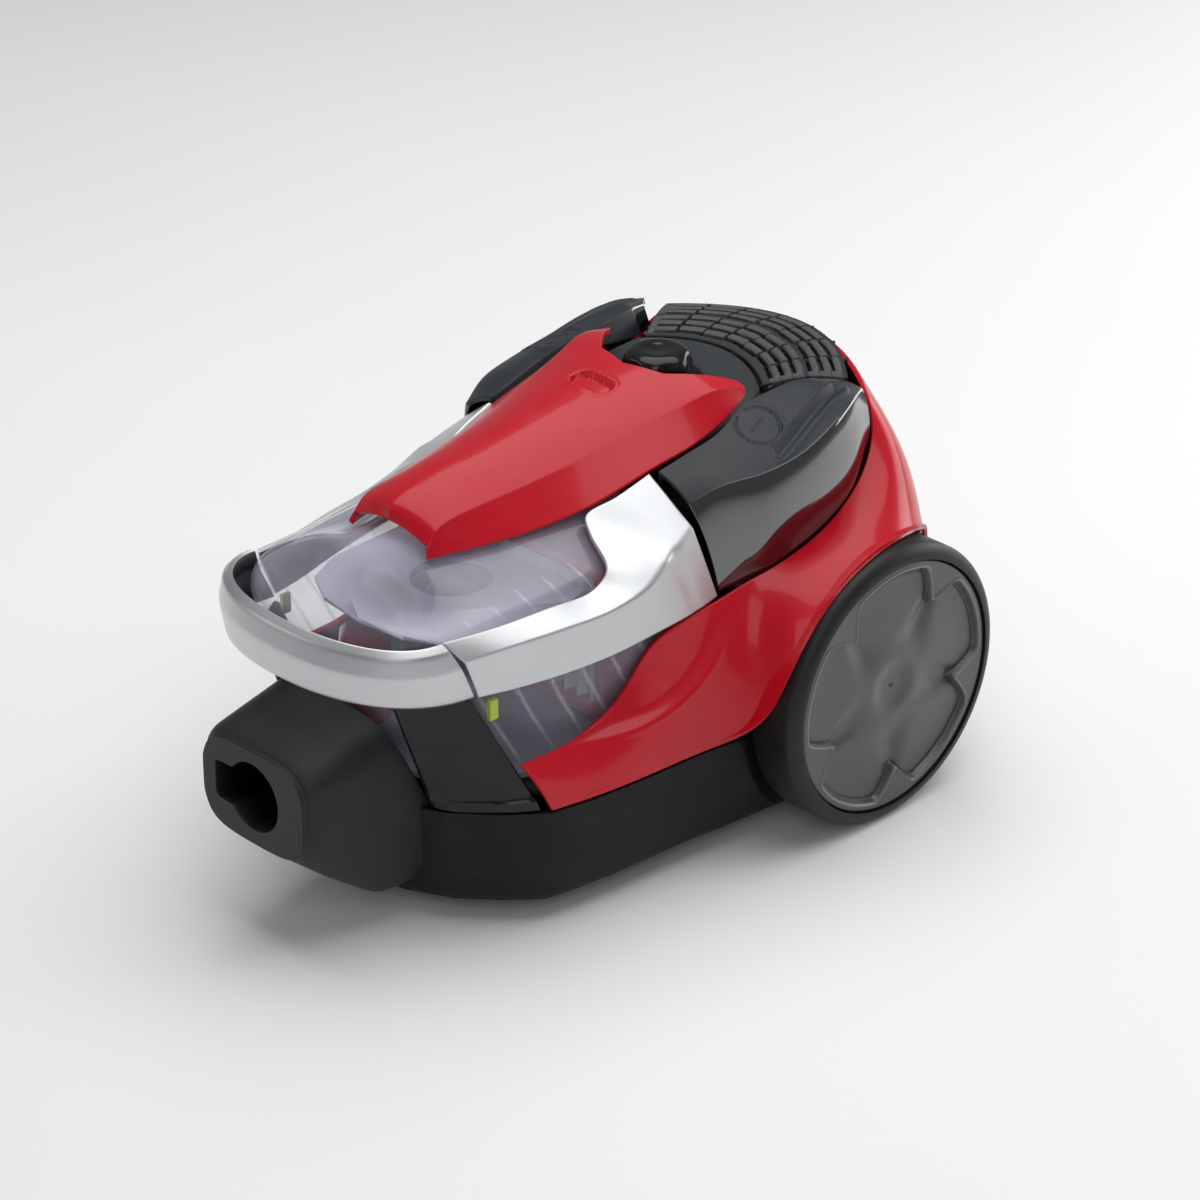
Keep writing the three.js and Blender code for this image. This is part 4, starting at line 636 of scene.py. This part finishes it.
# ---- hose inlet housing ----
def nose_housing():
    """Rounded box that tapers forwards, closed by a face with a keyed round port. Rings run from
    the leaning rear plane to the front, over the rounded brow, in to the port and down the duct."""
    front, brow_y, face_y = -222.0, -218.5, -221.8
    a = (np.arange(240) + 0.5) * 2 * math.pi / 240
    c, s = np.cos(a), np.sin(a)
    level = lambda y: np.full(a.shape, float(y))
    box = (np.abs(c) ** 4 + np.abs(s) ** 4) ** -0.25
    y_at = np.array([front, -219.5, -214, -195, -168, -140])
    half = np.array([36, 40, 43, 45, 47, 47.5])
    bottom = np.array([62, 58, 53, 37, 17, 16.2])
    top = np.array([110, 113, 115.5, 120, 126.5, 127])
    fine = np.linspace(front, -140, 300)
    smooth = lambda v: settled(np.interp(fine, y_at, v), 9)
    size = [smooth(v) for v in (half, bottom, top)]
    rear_of = lambda z: np.minimum(-194.5 - LIFT_SLOPE * (z - LIFT_LEVEL), -140)
    rings = []
    for share in np.linspace(0, 1, 56) ** 1.25:
        z = np.full(a.shape, 70.0)
        for _ in range(6):
            y = brow_y + (rear_of(z) - brow_y) * (1 - share)
            w, low, high = (np.interp(y, fine, v) for v in size)
            z = (low + high) / 2 + (high - low) / 2 * box * s
        rings.append(np.stack([w * box * c, y, z], -1))
    start = rings[-1]
    # round port with a square key slot to one side of it
    key = ((np.abs(c) / 29) ** 12 + (np.abs(s) / 11) ** 12) ** (-1 / 12)
    hole = np.maximum(PORT_RADIUS, np.where(c < 0, key, 0))
    port = np.stack([hole * c, level(front), PORT_Z + hole * s], -1)
    for k in np.linspace(0.12, 1, 9):
        turn = math.radians(90 * k)
        q = start + (port - start) * 0.10 * math.sin(turn)
        q[:, 1] = brow_y - (brow_y - face_y) * (1 - math.cos(turn))
        rings.append(q)
    brow = rings[-1]
    for k in np.linspace(0.08, 1, 22):
        q = brow + (port - brow) * k * 0.972
        q[:, 1] = face_y
        rings.append(q)
    rim = rings[-1]
    for k in np.linspace(0.2, 1, 6):
        turn = math.radians(90 * k)
        q = rim + (port - rim) * math.sin(turn)
        q[:, 1] = face_y + 1.4 * (1 - math.cos(turn))
        rings.append(q)
    mouth = rings[-1]
    deep = np.stack([np.where(hole > 19.4, hole, PORT_RADIUS) * c, level(-194), PORT_Z + hole * s],
                    -1)
    rings += [mouth + (deep - mouth) * k for k in np.linspace(0.1, 1, 8)]
    duct = PORT_RADIUS * np.stack([c, 0 * c, s], -1)
    for y in (-193.5, -184):
        rings.append(duct + [0, y, PORT_Z + (y - front) * 0.22])
    floor = rear_of(PORT_Z + 8 + PORT_RADIUS * s)
    last = duct + [0, 0, PORT_Z + 10]
    last[:, 1] = np.minimum(floor, -150)
    rings = np.array(rings + [last, rings[0]])
    # painted shade: the port bore and duct are painted darker the deeper they lie behind the face,
    # full from about 12 mm in
    depth = np.clip((rings[..., 1] + 220.5) / 12, 0, 1) * (np.arange(len(rings)) > 90)[:, None]
    p = np.swapaxes(rings, 0, 1)
    return p.reshape(-1, 3), quads(*p.shape[:2], wrap_u=True), np.swapaxes(depth, 0, 1).ravel()


points, faces, painted_port_shade = nose_housing()
piece("hose_inlet_nose", points, faces, NOSE, "chassis", ["hose_inlet_housing"], 42,
      painted_port_shade)

# ---- clear dust case ----
# height, y of the rear wall, side from front to rear
SIDES = [(83, 6, [(80, -90), (85, -60), (87, -25), (86, -6)]),
         (120, 6, [(79, -100), (87, -60), (89, -25), (88, -6)]),
         (145, 5, [(81, -110), (89, -60), (91.5, -25), (90, -6)]),
         (170, 3, [(72, -120), (76, -60), (79, -25), (81, -8)])]
CASE_TOP = [
    [(0, -154, 199), (30, -152.5, 197), (49, -153, 188), (60, -157, 180), (65.5, -152, 176),
     (69, -115, 177.5), (71.5, -60, 179), (69.5, -32, 181), (60, -14, 187), (48, -4, 194),
     (30, -1, 196), (0, -1, 196)],
    [(0, -138, 199.5), (15, -136, 198.5), (24, -131, 196), (29, -119, 194.5), (33, -105, 194),
     (38, -85, 194), (42, -62, 196), (43, -42, 198), (42, -22, 199), (36, -9, 199), (22, -6, 199),
     (0, -6, 199)]]


def case_shell():
    """Clear case: level outlines from the door up, whose fronts lean with the lift, then the
    shoulder arch and the flat under the handle. Outlines are joined by smooth curves. The third
    result is a painted milky sheen, strongest where the case faces up, as if lit from above."""
    outlines = []
    for z, rear, side in SIDES:
        front = [(0, -190), (30, -187.5), (50, -180), (62, -169), (67.5, -158)]
        ring = [tuple(leaning(x, e, z)) for x, e in front] + [(x, y, z) for x, y in side]
        ring += [(side[-1][0] - 8, rear, z), (40, rear, z), (0, rear, z)]
        outlines.append(ring)
    outlines += CASE_TOP
    u = np.linspace(0, 1, 110)
    half = np.array([settled(spline(o, u), 2.0) for o in outlines])
    whole = np.concatenate([half, half[:, -2:0:-1] * [-1, 1, 1]], 1)
    v = np.linspace(0, 1, 90)
    up = settled(spline(whole, v), 1.6)
    middle = np.array([0, -72, 199.6])
    inwards = np.linspace(0.12, 1, 12)
    crown = up[-1:] + (middle - up[-1:]) * inwards[:, None, None]
    crown[..., 2] = up[-1:, :, 2] + (middle[2] - up[-1:, :, 2]) * step(0, 0.3, inwards)[:, None]
    outer = np.concatenate([up, crown])
    before, after = np.roll(outer, 1, 1), np.roll(outer, -1, 1)
    rise = np.gradient(outer, axis=0)
    normal = unit(np.cross(after - before, rise))
    normal[-1] = (0, 0, 1)
    wall = 2.0
    inner = outer - normal * wall
    inner[-1] = middle - np.array([0, 0, wall])
    inner[0] = outer[0] - unit(normal[0] * [1, 1, 0]) * wall
    rings = np.concatenate([inner[::-1], outer])
    # painted sheen: the case is made milkier where its surface faces up, behind its front, as if lit
    # from above
    painted_top_sheen = step(0.2, 0.9, normal[..., 2]) * step(-150, -120, outer[..., 1])
    painted_top_sheen = np.concatenate([np.zeros(inner.shape[:2]), painted_top_sheen])
    p = np.swapaxes(rings, 0, 1)
    return (p.reshape(-1, 3), quads(*p.shape[:2], wrap_u=True),
            np.swapaxes(painted_top_sheen, 0, 1).ravel())


points, faces, painted_top_sheen = case_shell()
piece("clear_dust_case", points, faces, CLEAR, "dust_case", ["dust_case_shell"], 60, painted_top_sheen)

# ---- carrying handle ----
LID = [
    [(30, -127, 197.5), (27.5, -125.5, 203), (0, -127, 209)],
    [(31, -124, 197.5), (27.5, -119, 209.5), (0, -125, 215.5)],
    [(32.5, -119, 197.5), (27.5, -111, 212.5), (0, -118, 219.5)],
    [(38, -98, 197.5), (29, -88, 214.5), (0, -90, 225.5)],
    [(46, -66, 199), (32.5, -58, 217.5), (0, -60, 228.5)],
    [(53, -32, 203.5), (36, -24, 222), (0, -28, 232.5)],
    [(58, 0, 212), (40, 6, 227.5), (0, 4, 237)],
    [(60.5, 32, 217.5), (45, 34, 233), (0, 34, 241.5)],
    [(58.5, 60, 224), (50, 58, 237), (0, 58, 244.5)],
    [(54, 78, 230), (52.5, 78.5, 233), (0, 78, 245)],
]
BAY = [(0, 40), (24, 47), (36, 60), (44, 72), (50, 86)]


def lid_point(u, v):
    """Handle skin: from the crown the top falls as a square law to the crease, then the side runs
    straight down to the lower edge; v 0.5 is the crown."""
    edges = rails(LID, u, 0)
    low, crease, crown = edges[..., 0, :], edges[..., 1, :], edges[..., 2, :]
    across = np.abs(2 * v - 1)[..., None]
    t = np.clip(across / 0.5, 0, 1)
    top = crown + (crease - crown) * np.concatenate([t, t, t ** 2], -1)
    side = crease + (low - crease) * np.clip((across - 0.5) / 0.5, 0, 1)
    p = np.where(across < 0.5, top, side)
    return p * np.stack([np.where(v < 0.5, 1, -1), np.ones(v.shape), np.ones(v.shape)], -1)


def handle():
    """The handle skin is cut back at its rear to the bay round the knob, and pressed in a little
    round the slot of the cleaning slide, with a raised lip."""
    v = np.concatenate([np.linspace(0, 0.235, 24), np.linspace(0.24, 0.44, 50),
                        np.linspace(0.442, 0.558, 70), np.linspace(0.56, 0.76, 50),
                        np.linspace(0.765, 1, 24)])
    trial_u = np.linspace(0, 1, 320)
    uu, vv = np.meshgrid(trial_u, v, indexing="ij")
    p = lid_point(uu, vv)
    bay = np.interp(np.abs(p[..., 0]), [b[0] for b in BAY], [b[1] for b in BAY], right=200)
    bay = np.where(np.abs(p[..., 0]) > 49, 200, bay)
    past = p[..., 1] > bay
    end = np.where(past.any(0), trial_u[np.argmax(past, 0)], 1.0)
    end = np.minimum(settled(end[:, None], 1.6)[:, 0], 1.0)
    uu = np.linspace(0, 1, 190)[:, None] * end[None, :]
    p = lid_point(uu, np.broadcast_to(v, uu.shape))
    p = settled_across(settled(p, 1.4), 1.1)
    d = np.hypot(np.maximum(np.abs(p[..., 0]) - 8, 0), (p[..., 1] - 17) / 1.1) - 5
    p[..., 2] += 0.8 * np.exp(-((d - 2.2) / 1.2) ** 2) - 2.9 * step(0.5, -0.3, d)
    return moulded(p, 3.0, 1.0, even=False)


points, faces = handle()
piece("red_carrying_handle", points, faces, RED, "dust_case", ["carrying_handle"], 46)

low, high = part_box("filter_clean_slide")
cx, cy = (low.x + high.x) / 2 / MM, (low.y + high.y) / 2 / MM


def slide_button():
    """Stadium-shaped button with a domed top that slides in the slot of the handle."""
    a = np.arange(72) * 2 * math.pi / 72
    x = 2.2 * np.tanh(3 * np.cos(a)) + 4.0 * np.cos(a)
    y = 4.0 * np.sin(a)
    ring = lambda k, z: np.stack([cx + x * k, cy + y * k, np.full(a.shape, z)], -1)
    top = high.z / MM
    levels = [(1, top - 6), (1, top - 1.4), (0.96, top - 0.6), (0.86, top - 0.15), (0.6, top)]
    return carried([ring(k, z) for k, z in levels])


points, faces = slide_button()
piece("cleaning_slide_button", points, faces, RED, "clean_slide", ["filter_clean_slide"],
      40)

# ---- pedals ----
PEDALS = [
    [(93.3, 18, 149), (84, 4.4, 201.5), (62.5, 3.6, 213), (60, 6, 207)],
    [(98, 34, 152), (91, 23, 208), (64, 22, 217), (61, 22, 211)],
    [over_arch(101.6, 48, -9), (97.5, 47, 209), (65.5, 44, 222), (62, 44, 214)],
    [over_arch(102.2, 70, -7), (99, 75, 212), (61.5, 68, 229), (58, 68, 220)],
    [over_arch(100, 98, 0), (96, 101, 219), (61, 90, 231), (56, 92, 219)],
    [over_arch(96.3, 117, 8), (91, 119, 223), (63, 108, 231.5), (58, 110, 217)],
    [over_arch(88, 137, 27), (81.5, 138, 222.5), (68, 124, 228), (63.5, 125, 216)],
]
RING_AT = (75, 65)


def pedal(mark):
    """Pedal skin in three strips: the flank from the foot to the crease, the top from the crease
    to the brow with a slight crown, and the inner face down to the lip. The top carries a round
    pressed-in ring with a bar or an open circle in it, and a long rounded groove. The third
    result is 1 on the polished faces."""
    edges = rails(PEDALS, np.linspace(0, 1, 220), 3.0)
    foot, crease, brow, lip = (edges[:, k, None] for k in range(4))
    t = lambda n: np.linspace(0, 1, n)[None, :, None]
    flank = bend(foot, crease * 0.55 + foot * 0.45 + [6, 0, 3], crease, t(44))
    top = bend(crease, crease * 0.6 + brow * 0.4 + [0, 0, 3.5], brow, t(64))
    inner = brow + (lip - brow) * t(14)
    p = np.concatenate([flank, top[:, 1:], inner[:, 1:]], 1)
    p = settled_across(p, 0.7)
    x, y = p[..., 0], p[..., 1]
    on_top = (np.arange(p.shape[1]) > 46)[None, :] * (np.arange(p.shape[1]) < 104)[None, :]
    across, ahead = x - RING_AT[0], y - RING_AT[1]
    r = np.hypot(across, ahead / 1.04)
    ring = np.exp(-((r - 11.6) / 0.65) ** 2)
    bar = np.exp(-(np.maximum(np.abs(ahead * 0.97 - across * 0.23) - 5, 0) ** 2
                   + (across * 0.97 + ahead * 0.23) ** 2) / 0.9)
    turn = np.exp(-((r - 5.4) / 0.6) ** 2) * (np.arctan2(ahead, across) > -1.9)
    sign = bar if mark == "bar" else turn
    # groove from the inner rear towards the flank
    start, way = np.array([79.0, 121.0]), np.array([13.5, -59.0])
    run = np.clip(((p[..., :2] - start) @ way) / (way @ way), 0, 1)
    away = np.linalg.norm(p[..., :2] - start - run[..., None] * way, axis=-1)
    groove = 2.2 * np.exp(-(away / 2.4) ** 2) - 0.7 * np.exp(-((away - 4.8) / 1.5) ** 2)
    rim = np.exp(-((r - 13.4) / 0.8) ** 2)
    p[..., 2] -= on_top * (1.0 * ring - 0.35 * rim + 0.8 * sign + groove)
    along = np.linspace(0, 1, p.shape[0])[:, None]
    col = np.arange(p.shape[1])[None, :]
    gloss = np.maximum(step(45.5, 42.5, col), step(0.84, 0.88, along) * (col > 80))
    gloss = np.broadcast_to(gloss, p.shape[:2])
    return *moulded(p, WALL, 0.9, even=False), with_rims(gloss)


for name, side, body, mark in (("power_pedal", 1, "power_pedal_body", "bar"),
                               ("cord_pedal", -1, "cord_pedal_body", "turn")):
    points, faces, gloss = pedal(mark)
    piece(name + "_cover", points * [side, 1, 1], faces, PEDAL, body, [name], 50, gloss)

# ---- deck console, knob and grille ----
CONSOLE = [[(52, 34, 209), (0, 36, 216)], [(53, 60, 214), (0, 58, 219)],
           [(50, 84, 220), (0, 84, 222)], [(45, 97, 223.5), (0, 115, 226)]]


def console():
    """Console skin: edge and middle lines joined by a bow that falls as 1 - across squared, with
    a round well pressed in under the knob and a crescent rim behind it."""
    edges = rails(CONSOLE, np.linspace(0, 1, 110), 2)
    v = np.linspace(-1, 1, 140)[None, :]
    edge, middle = edges[:, 0, None], edges[:, 1, None]
    bow = (1 - v ** 2)[..., None]
    p = edge + (middle - edge) * bow
    p[..., 0] = edge[..., 0] * -v
    d = np.hypot(p[..., 0], p[..., 1] - KNOB_Y)
    back = step(-4, 14, p[..., 1] - KNOB_Y)
    p[..., 2] += 2.4 * np.exp(-((d - 25.5) / 1.9) ** 2) * back - 2.0 * step(23.5, 21.5, d)
    p[..., 2] += 0.5
    return moulded(p, WALL, 0.8, even=False)


points, faces = console()
piece("deck_console", points, faces, SLATE, "chassis", (), 60)


def knob():
    """Turned knob: flat foot flange, waisted side with six shallow finger scallops, rounded
    shoulder and a dished top."""
    side = [(0, 0), (20, 0), (20, 2.0), (19.4, 4), (19.2, 10), (18.6, 14), (16.5, 17.6),
            (12.6, 19.2), (8, 19.3), (5, 18.7), (0, 18.4)]
    profile = rounded(side, 3, 0.22, loop=False)

    def scallop(a, r, run):
        bite = step(3, 6, run) * step(19.6, 14, run)
        return r * (1 - 0.07 * bite * (0.5 - 0.5 * np.cos(6 * a)) ** 2), run

    return turned(profile, (0, KNOB_Y, KNOB_FOOT), "z", 192, scallop)


points, faces = knob()
piece("power_knob_cap", points, faces, GLOSS, "knob", ["power_knob"], 30)


def grille_point(s, t, rise=0):
    """Curved panel between two bowed edges; s runs across from -1 to 1, t from front to rear."""
    bow = 1 - s ** 2
    edge = lambda e, m: np.stack([e[0] * s, e[1] + (m[1] - e[1]) * bow, e[2] + (m[2] - e[2]) * bow],
                                 -1)
    front = edge((44, 100.5, 224), (0, 117, 226.5))
    rear = edge((68, 141.5, 223), (0, 176, 224))
    p = front + (rear - front) * t[..., None]
    p[..., 2] += 3 * np.sin(math.pi * t) + rise
    return p


def grille():
    """Grille panel with three slats before and three behind a plain band. Each slat has a groove
    in front and a raised step behind; across, it is cut into seven tiles, set back by turns. The
    third result is how dark a point is: painted shade in the slots and in the cuts between
    tiles, and a darker plain band and margins."""
    s, t = np.meshgrid(np.linspace(-1, 1, 270), np.linspace(0, 1, 160), indexing="ij")
    p = grille_point(s, t)
    tile = (s + 1) * 3.5
    shift = 0.018 * (np.floor(tile) % 2) + 0.012 * s
    row = np.full(t.shape, 9.0)
    for start in (0.08, 0.215, 0.35, 0.53, 0.665, 0.80):
        w = (t - shift - start) / 0.125
        row = np.where((w > 0) & (w < 1), w, row)
    slat = (row < 2) * (np.abs(s) < 0.93)
    gap = slat * (step(0.0, 0.06, row) * step(0.42, 0.34, row))
    cut = np.abs(tile - np.round(tile))
    tooth = slat * step(0.05, 0.02, cut)
    hollow = np.maximum(gap, tooth * 0.9)
    p[..., 2] += -3.4 * hollow + 0.9 * slat * step(0.46, 0.6, row) * (1 - 0.6 * row)
    # painted shade: the slots and the cuts between tiles are painted near black; the plain band and
    # margins are darker too
    dark = np.clip(hollow * 1.2 + 0.75 * (row > 2), 0, 1)
    return *moulded(p, 5.5, 0.8, even=False), with_rims(dark)


points, faces, dark = grille()
piece("exhaust_grille_panel", points, faces, GRILLE, "grille", ["exhaust_grille"], 50,
      dark)


# ---- wheels ----
def tyre():
    """Turned tyre: flat tread, wide rounded shoulder on the outside and a small step to the rim."""
    w, r = 31.0, TYRE_RADIUS
    out = np.linspace(0, math.pi / 2, 14)
    shoulder = [(r - 8 + 8 * math.cos(a), w - 7 + 6.4 * math.sin(a)) for a in out]
    line = [(72, 1), (72.4, 0.2), (r - 1.6, 0), (r - 0.3, 1.0), (r, 2.6), (r, w - 9)] + shoulder
    line += [(72.0, w - 1.2), (71.9, w - 3)]
    line.append(line[0])
    return np.array(line)


def from_tooth(angle):
    """Degrees to the nearest of the five teeth."""
    return np.abs((np.degrees(angle) - 57 + 36) % 72 - 36)


def hub_edge(off):
    """Radius of the line between the outer field and the recess, by degrees from a tooth: 67 mm
    between the teeth and about 50 mm at their points, with rounded corners."""
    tooth = 47.5 + 19.5 * (np.hypot(off, 1.6) / 12.6) ** 0.95
    return -1.3 * np.log(np.exp(-67.4 / 1.3) + np.exp(-tooth / 1.3))


def hub(a, r, run):
    """Hub face: a raised outer field with five pointed teeth that reach in over a recessed, softly
    lobed middle; a fine lip follows the edge between them, and the centre is dimpled."""
    face = run > 0.5
    off = from_tooth(a)
    d = hub_edge(off) - r
    wide = 5 + 0.30 * np.clip(52 - r, 0, 50)
    valley = np.exp(-(off * np.maximum(r, 8) / 57 / (wide * 0.8)) ** 2) * step(16, 40, r)
    level = -3.0 * step(0.1, 2.2, d) + 0.6 * np.exp(-((d + 0.5) / 0.8) ** 2)
    level -= 0.5 * np.exp(-((d - 2.2) / 1.0) ** 2)
    level += -1.9 * valley * step(0, 3, d) + 1.8 * step(62, 20, r) * (1 - 0.8 * valley)
    level -= 2.2 * np.exp(-(r / 12.5) ** 4) * step(0, 4, d)
    level -= 0.9 * np.exp(-(r / 1.2) ** 4)
    return r, run + face * level


HUB_SEGMENTS = 480
radii = np.concatenate([[0, 0.4, 0.8, 1.2, 1.8], np.linspace(3, RIM_RADIUS - 1.2, 150)])
face_line = [(r, 2.9) for r in radii] + [(RIM_RADIUS - 0.5, 2.3), (RIM_RADIUS - 0.2, 1.6),
                                         (RIM_RADIUS - 0.2, 0.0), (67.6, -0.2), (64.5, -3.8),
                                         (9, -3.8), (8, -2.2), (0, -2.2)]
for side, sign in HANDS:
    p, f = turned(tyre(), (WHEEL_INNER_X, AXLE_Y, AXLE_Z), "x", 220)
    piece(f"tyre_{side}", p * [sign, 1, 1], f, TYRE, f"wheel_{side}", [f"wheel_tyre_{side}"],
          40)
    p, f = turned(face_line, (HUB_X, AXLE_Y, AXLE_Z), "x", HUB_SEGMENTS, hub)
    a = np.repeat(np.arange(HUB_SEGMENTS) * 2 * math.pi / HUB_SEGMENTS, len(face_line))
    r = np.tile(np.array([q[0] for q in face_line]), HUB_SEGMENTS)
    # painted highlight: a light line is painted along the lip between the outer field and the recess
    line = 0.9 * np.exp(-((hub_edge(from_tooth(a)) - r + 0.4) / 0.75) ** 2)
    piece(f"hub_disc_{side}", p * [sign, 1, 1], f, HUB, f"wheel_{side}", [f"hub_cover_{side}"],
          45, line)


# ---- pieces that keep their frame shape, with corners merged and shaded smooth ----
KEPT = {
    "lower_chassis": (SKIRT, "chassis", "black_matte", 28),
    "case_bay_floor": (INNER, "chassis", "black_matte", 30),
    "motor_bulkhead": (INNER, "chassis", "black_matte", 30),
    "deck_frame": (SLATE, "chassis", "deck_grey", 30),
    "case_bottom_door": (DOOR, "dust_case", "clear", 30),
    "cyclone_cone": (PURPLE, "dust_case", "purple", 40),
    "separator_plate": (FROST, "dust_case", "purple", 30),
    "mesh_tube": (STEEL, "dust_case", "steel", 40),
    "case_inlet_pipe": (DUCT, "dust_case", "dark_red", 50),
    "filter_frame": (DUCT, "dust_case", "dark_red", 30),
    "caster_fork": (INNER, "caster_swivel_fork", "black_matte", 35),
    "caster_wheel": (RUBBER, "caster_roller", "rubber_black", 40),
    "release_button": (GLOSS, "release", "black_gloss", 30),
    "cord_outlet": (INNER, "chassis", "black_matte", 40),
    "inlet_seal": (RUBBER, "chassis", "rubber_black", 40),
}
for node, (material, body, slot_name, angle) in KEPT.items():
    copy = frame["nodes"][node].data.copy()
    finished(node + "_fine", copy, material, body, [node], angle, 1e-6)

FINISHES = {"red_gloss": RED, "silver_satin": SILVER, "deck_grey": SLATE, "black_matte": INNER,
            "black_gloss": GLOSS, "wheel_grey": REEL, "clear": CLEAR, "purple": PURPLE,
            "dark_red": DUCT, "filter_paper": PAPER, "steel": STEEL, "copper_iron": COPPER,
            "rubber_black": RUBBER, "tyre_black": TYRE, "board_green": BOARD, "lime": LIME}
slot_of = {s["node"]: s["material_slot"] for s in frame["record"]["subparts"]}
for node, obj in frame["nodes"].items():
    material = RIM if node.startswith("wheel_rim") else FINISHES[slot_of[node]]
    obj.data.materials.clear()
    obj.data.materials.append(material)

# ---- floor, light and camera ----
def floor_sheet():
    """Pale level floor, a hair under the tyres."""
    r = Recipe("pale_floor")
    tone = r.mix(r.noise(3, 2), (0.9, 0.9, 0.9), (0.93, 0.93, 0.93))
    material = r.done(Base_Color=tone, Roughness=0.7, Specular_IOR_Level=0.2)
    line = np.linspace(-8, 8, 40)
    x, y = np.meshgrid(line, line, indexing="ij")
    p = np.stack([x, y, np.full(x.shape, -0.0006)], -1)
    mesh = bpy.data.meshes.new("studio_floor")
    mesh.from_pydata(p.reshape(-1, 3).tolist(), [], quads(40, 40).tolist())
    mesh.materials.append(material)
    placed("studio_floor", mesh)


floor_sheet()


def lamp(name, place, aim, size, power):
    """Soft rectangular studio lamp at a place, turned to face its aim."""
    data = bpy.data.lights.new(name, "AREA")
    data.shape, data.size, data.size_y = "RECTANGLE", size[0], size[1]
    data.energy = power
    obj = placed(name, data)
    obj.location = place
    obj.rotation_euler = (Vector(aim) - Vector(place)).to_track_quat("-Z", "Y").to_euler()


lamp("overhead_softbox", (0.0, 0.25, 1.7), (0, 0, 0.1), (2.2, 1.8), 27)
lamp("front_right_fill", (1.7, -1.5, 1.5), (0, 0, 0.12), (1.4, 1.4), 9)
lamp("front_left_softbox", (-1.3, -1.4, 0.9), (0, -0.1, 0.12), (0.9, 0.9), 3)
lamp("rear_card", (0.35, 1.6, 0.5), (0, 0, 0.15), (1.6, 0.6), 10)

world = bpy.data.worlds.new("studio_air")
bpy.context.scene.world = world
world.use_nodes = True
world.node_tree.nodes["Background"].inputs[0].default_value = (0.93, 0.95, 1.0, 1)
world.node_tree.nodes["Background"].inputs[1].default_value = 0.22
bpy.context.scene.view_settings.view_transform = "Standard"


LENS, SENSOR = 126.27, 36
CAMERA_AZIMUTH, CAMERA_HEIGHT, CAMERA_FAR = 45.5, 28, 2.262
CAMERA_AIM = (0, 0.0234, 0.1072)


def camera():
    """Camera on the cleaner's right front, above it, with a long lens; the first two are degrees,
    the third metres from the aim."""
    az, el = math.radians(CAMERA_AZIMUTH), math.radians(CAMERA_HEIGHT)
    away = Vector((math.sin(az) * math.cos(el), -math.cos(az) * math.cos(el), math.sin(el)))
    data = bpy.data.cameras.new("studio_camera")
    data.sensor_width, data.lens = SENSOR, LENS
    obj = placed("studio_camera", data)
    obj.location = Vector(CAMERA_AIM) + away * CAMERA_FAR
    obj.rotation_euler = (-away).to_track_quat("-Z", "Y").to_euler()
    bpy.context.scene.camera = obj


camera()
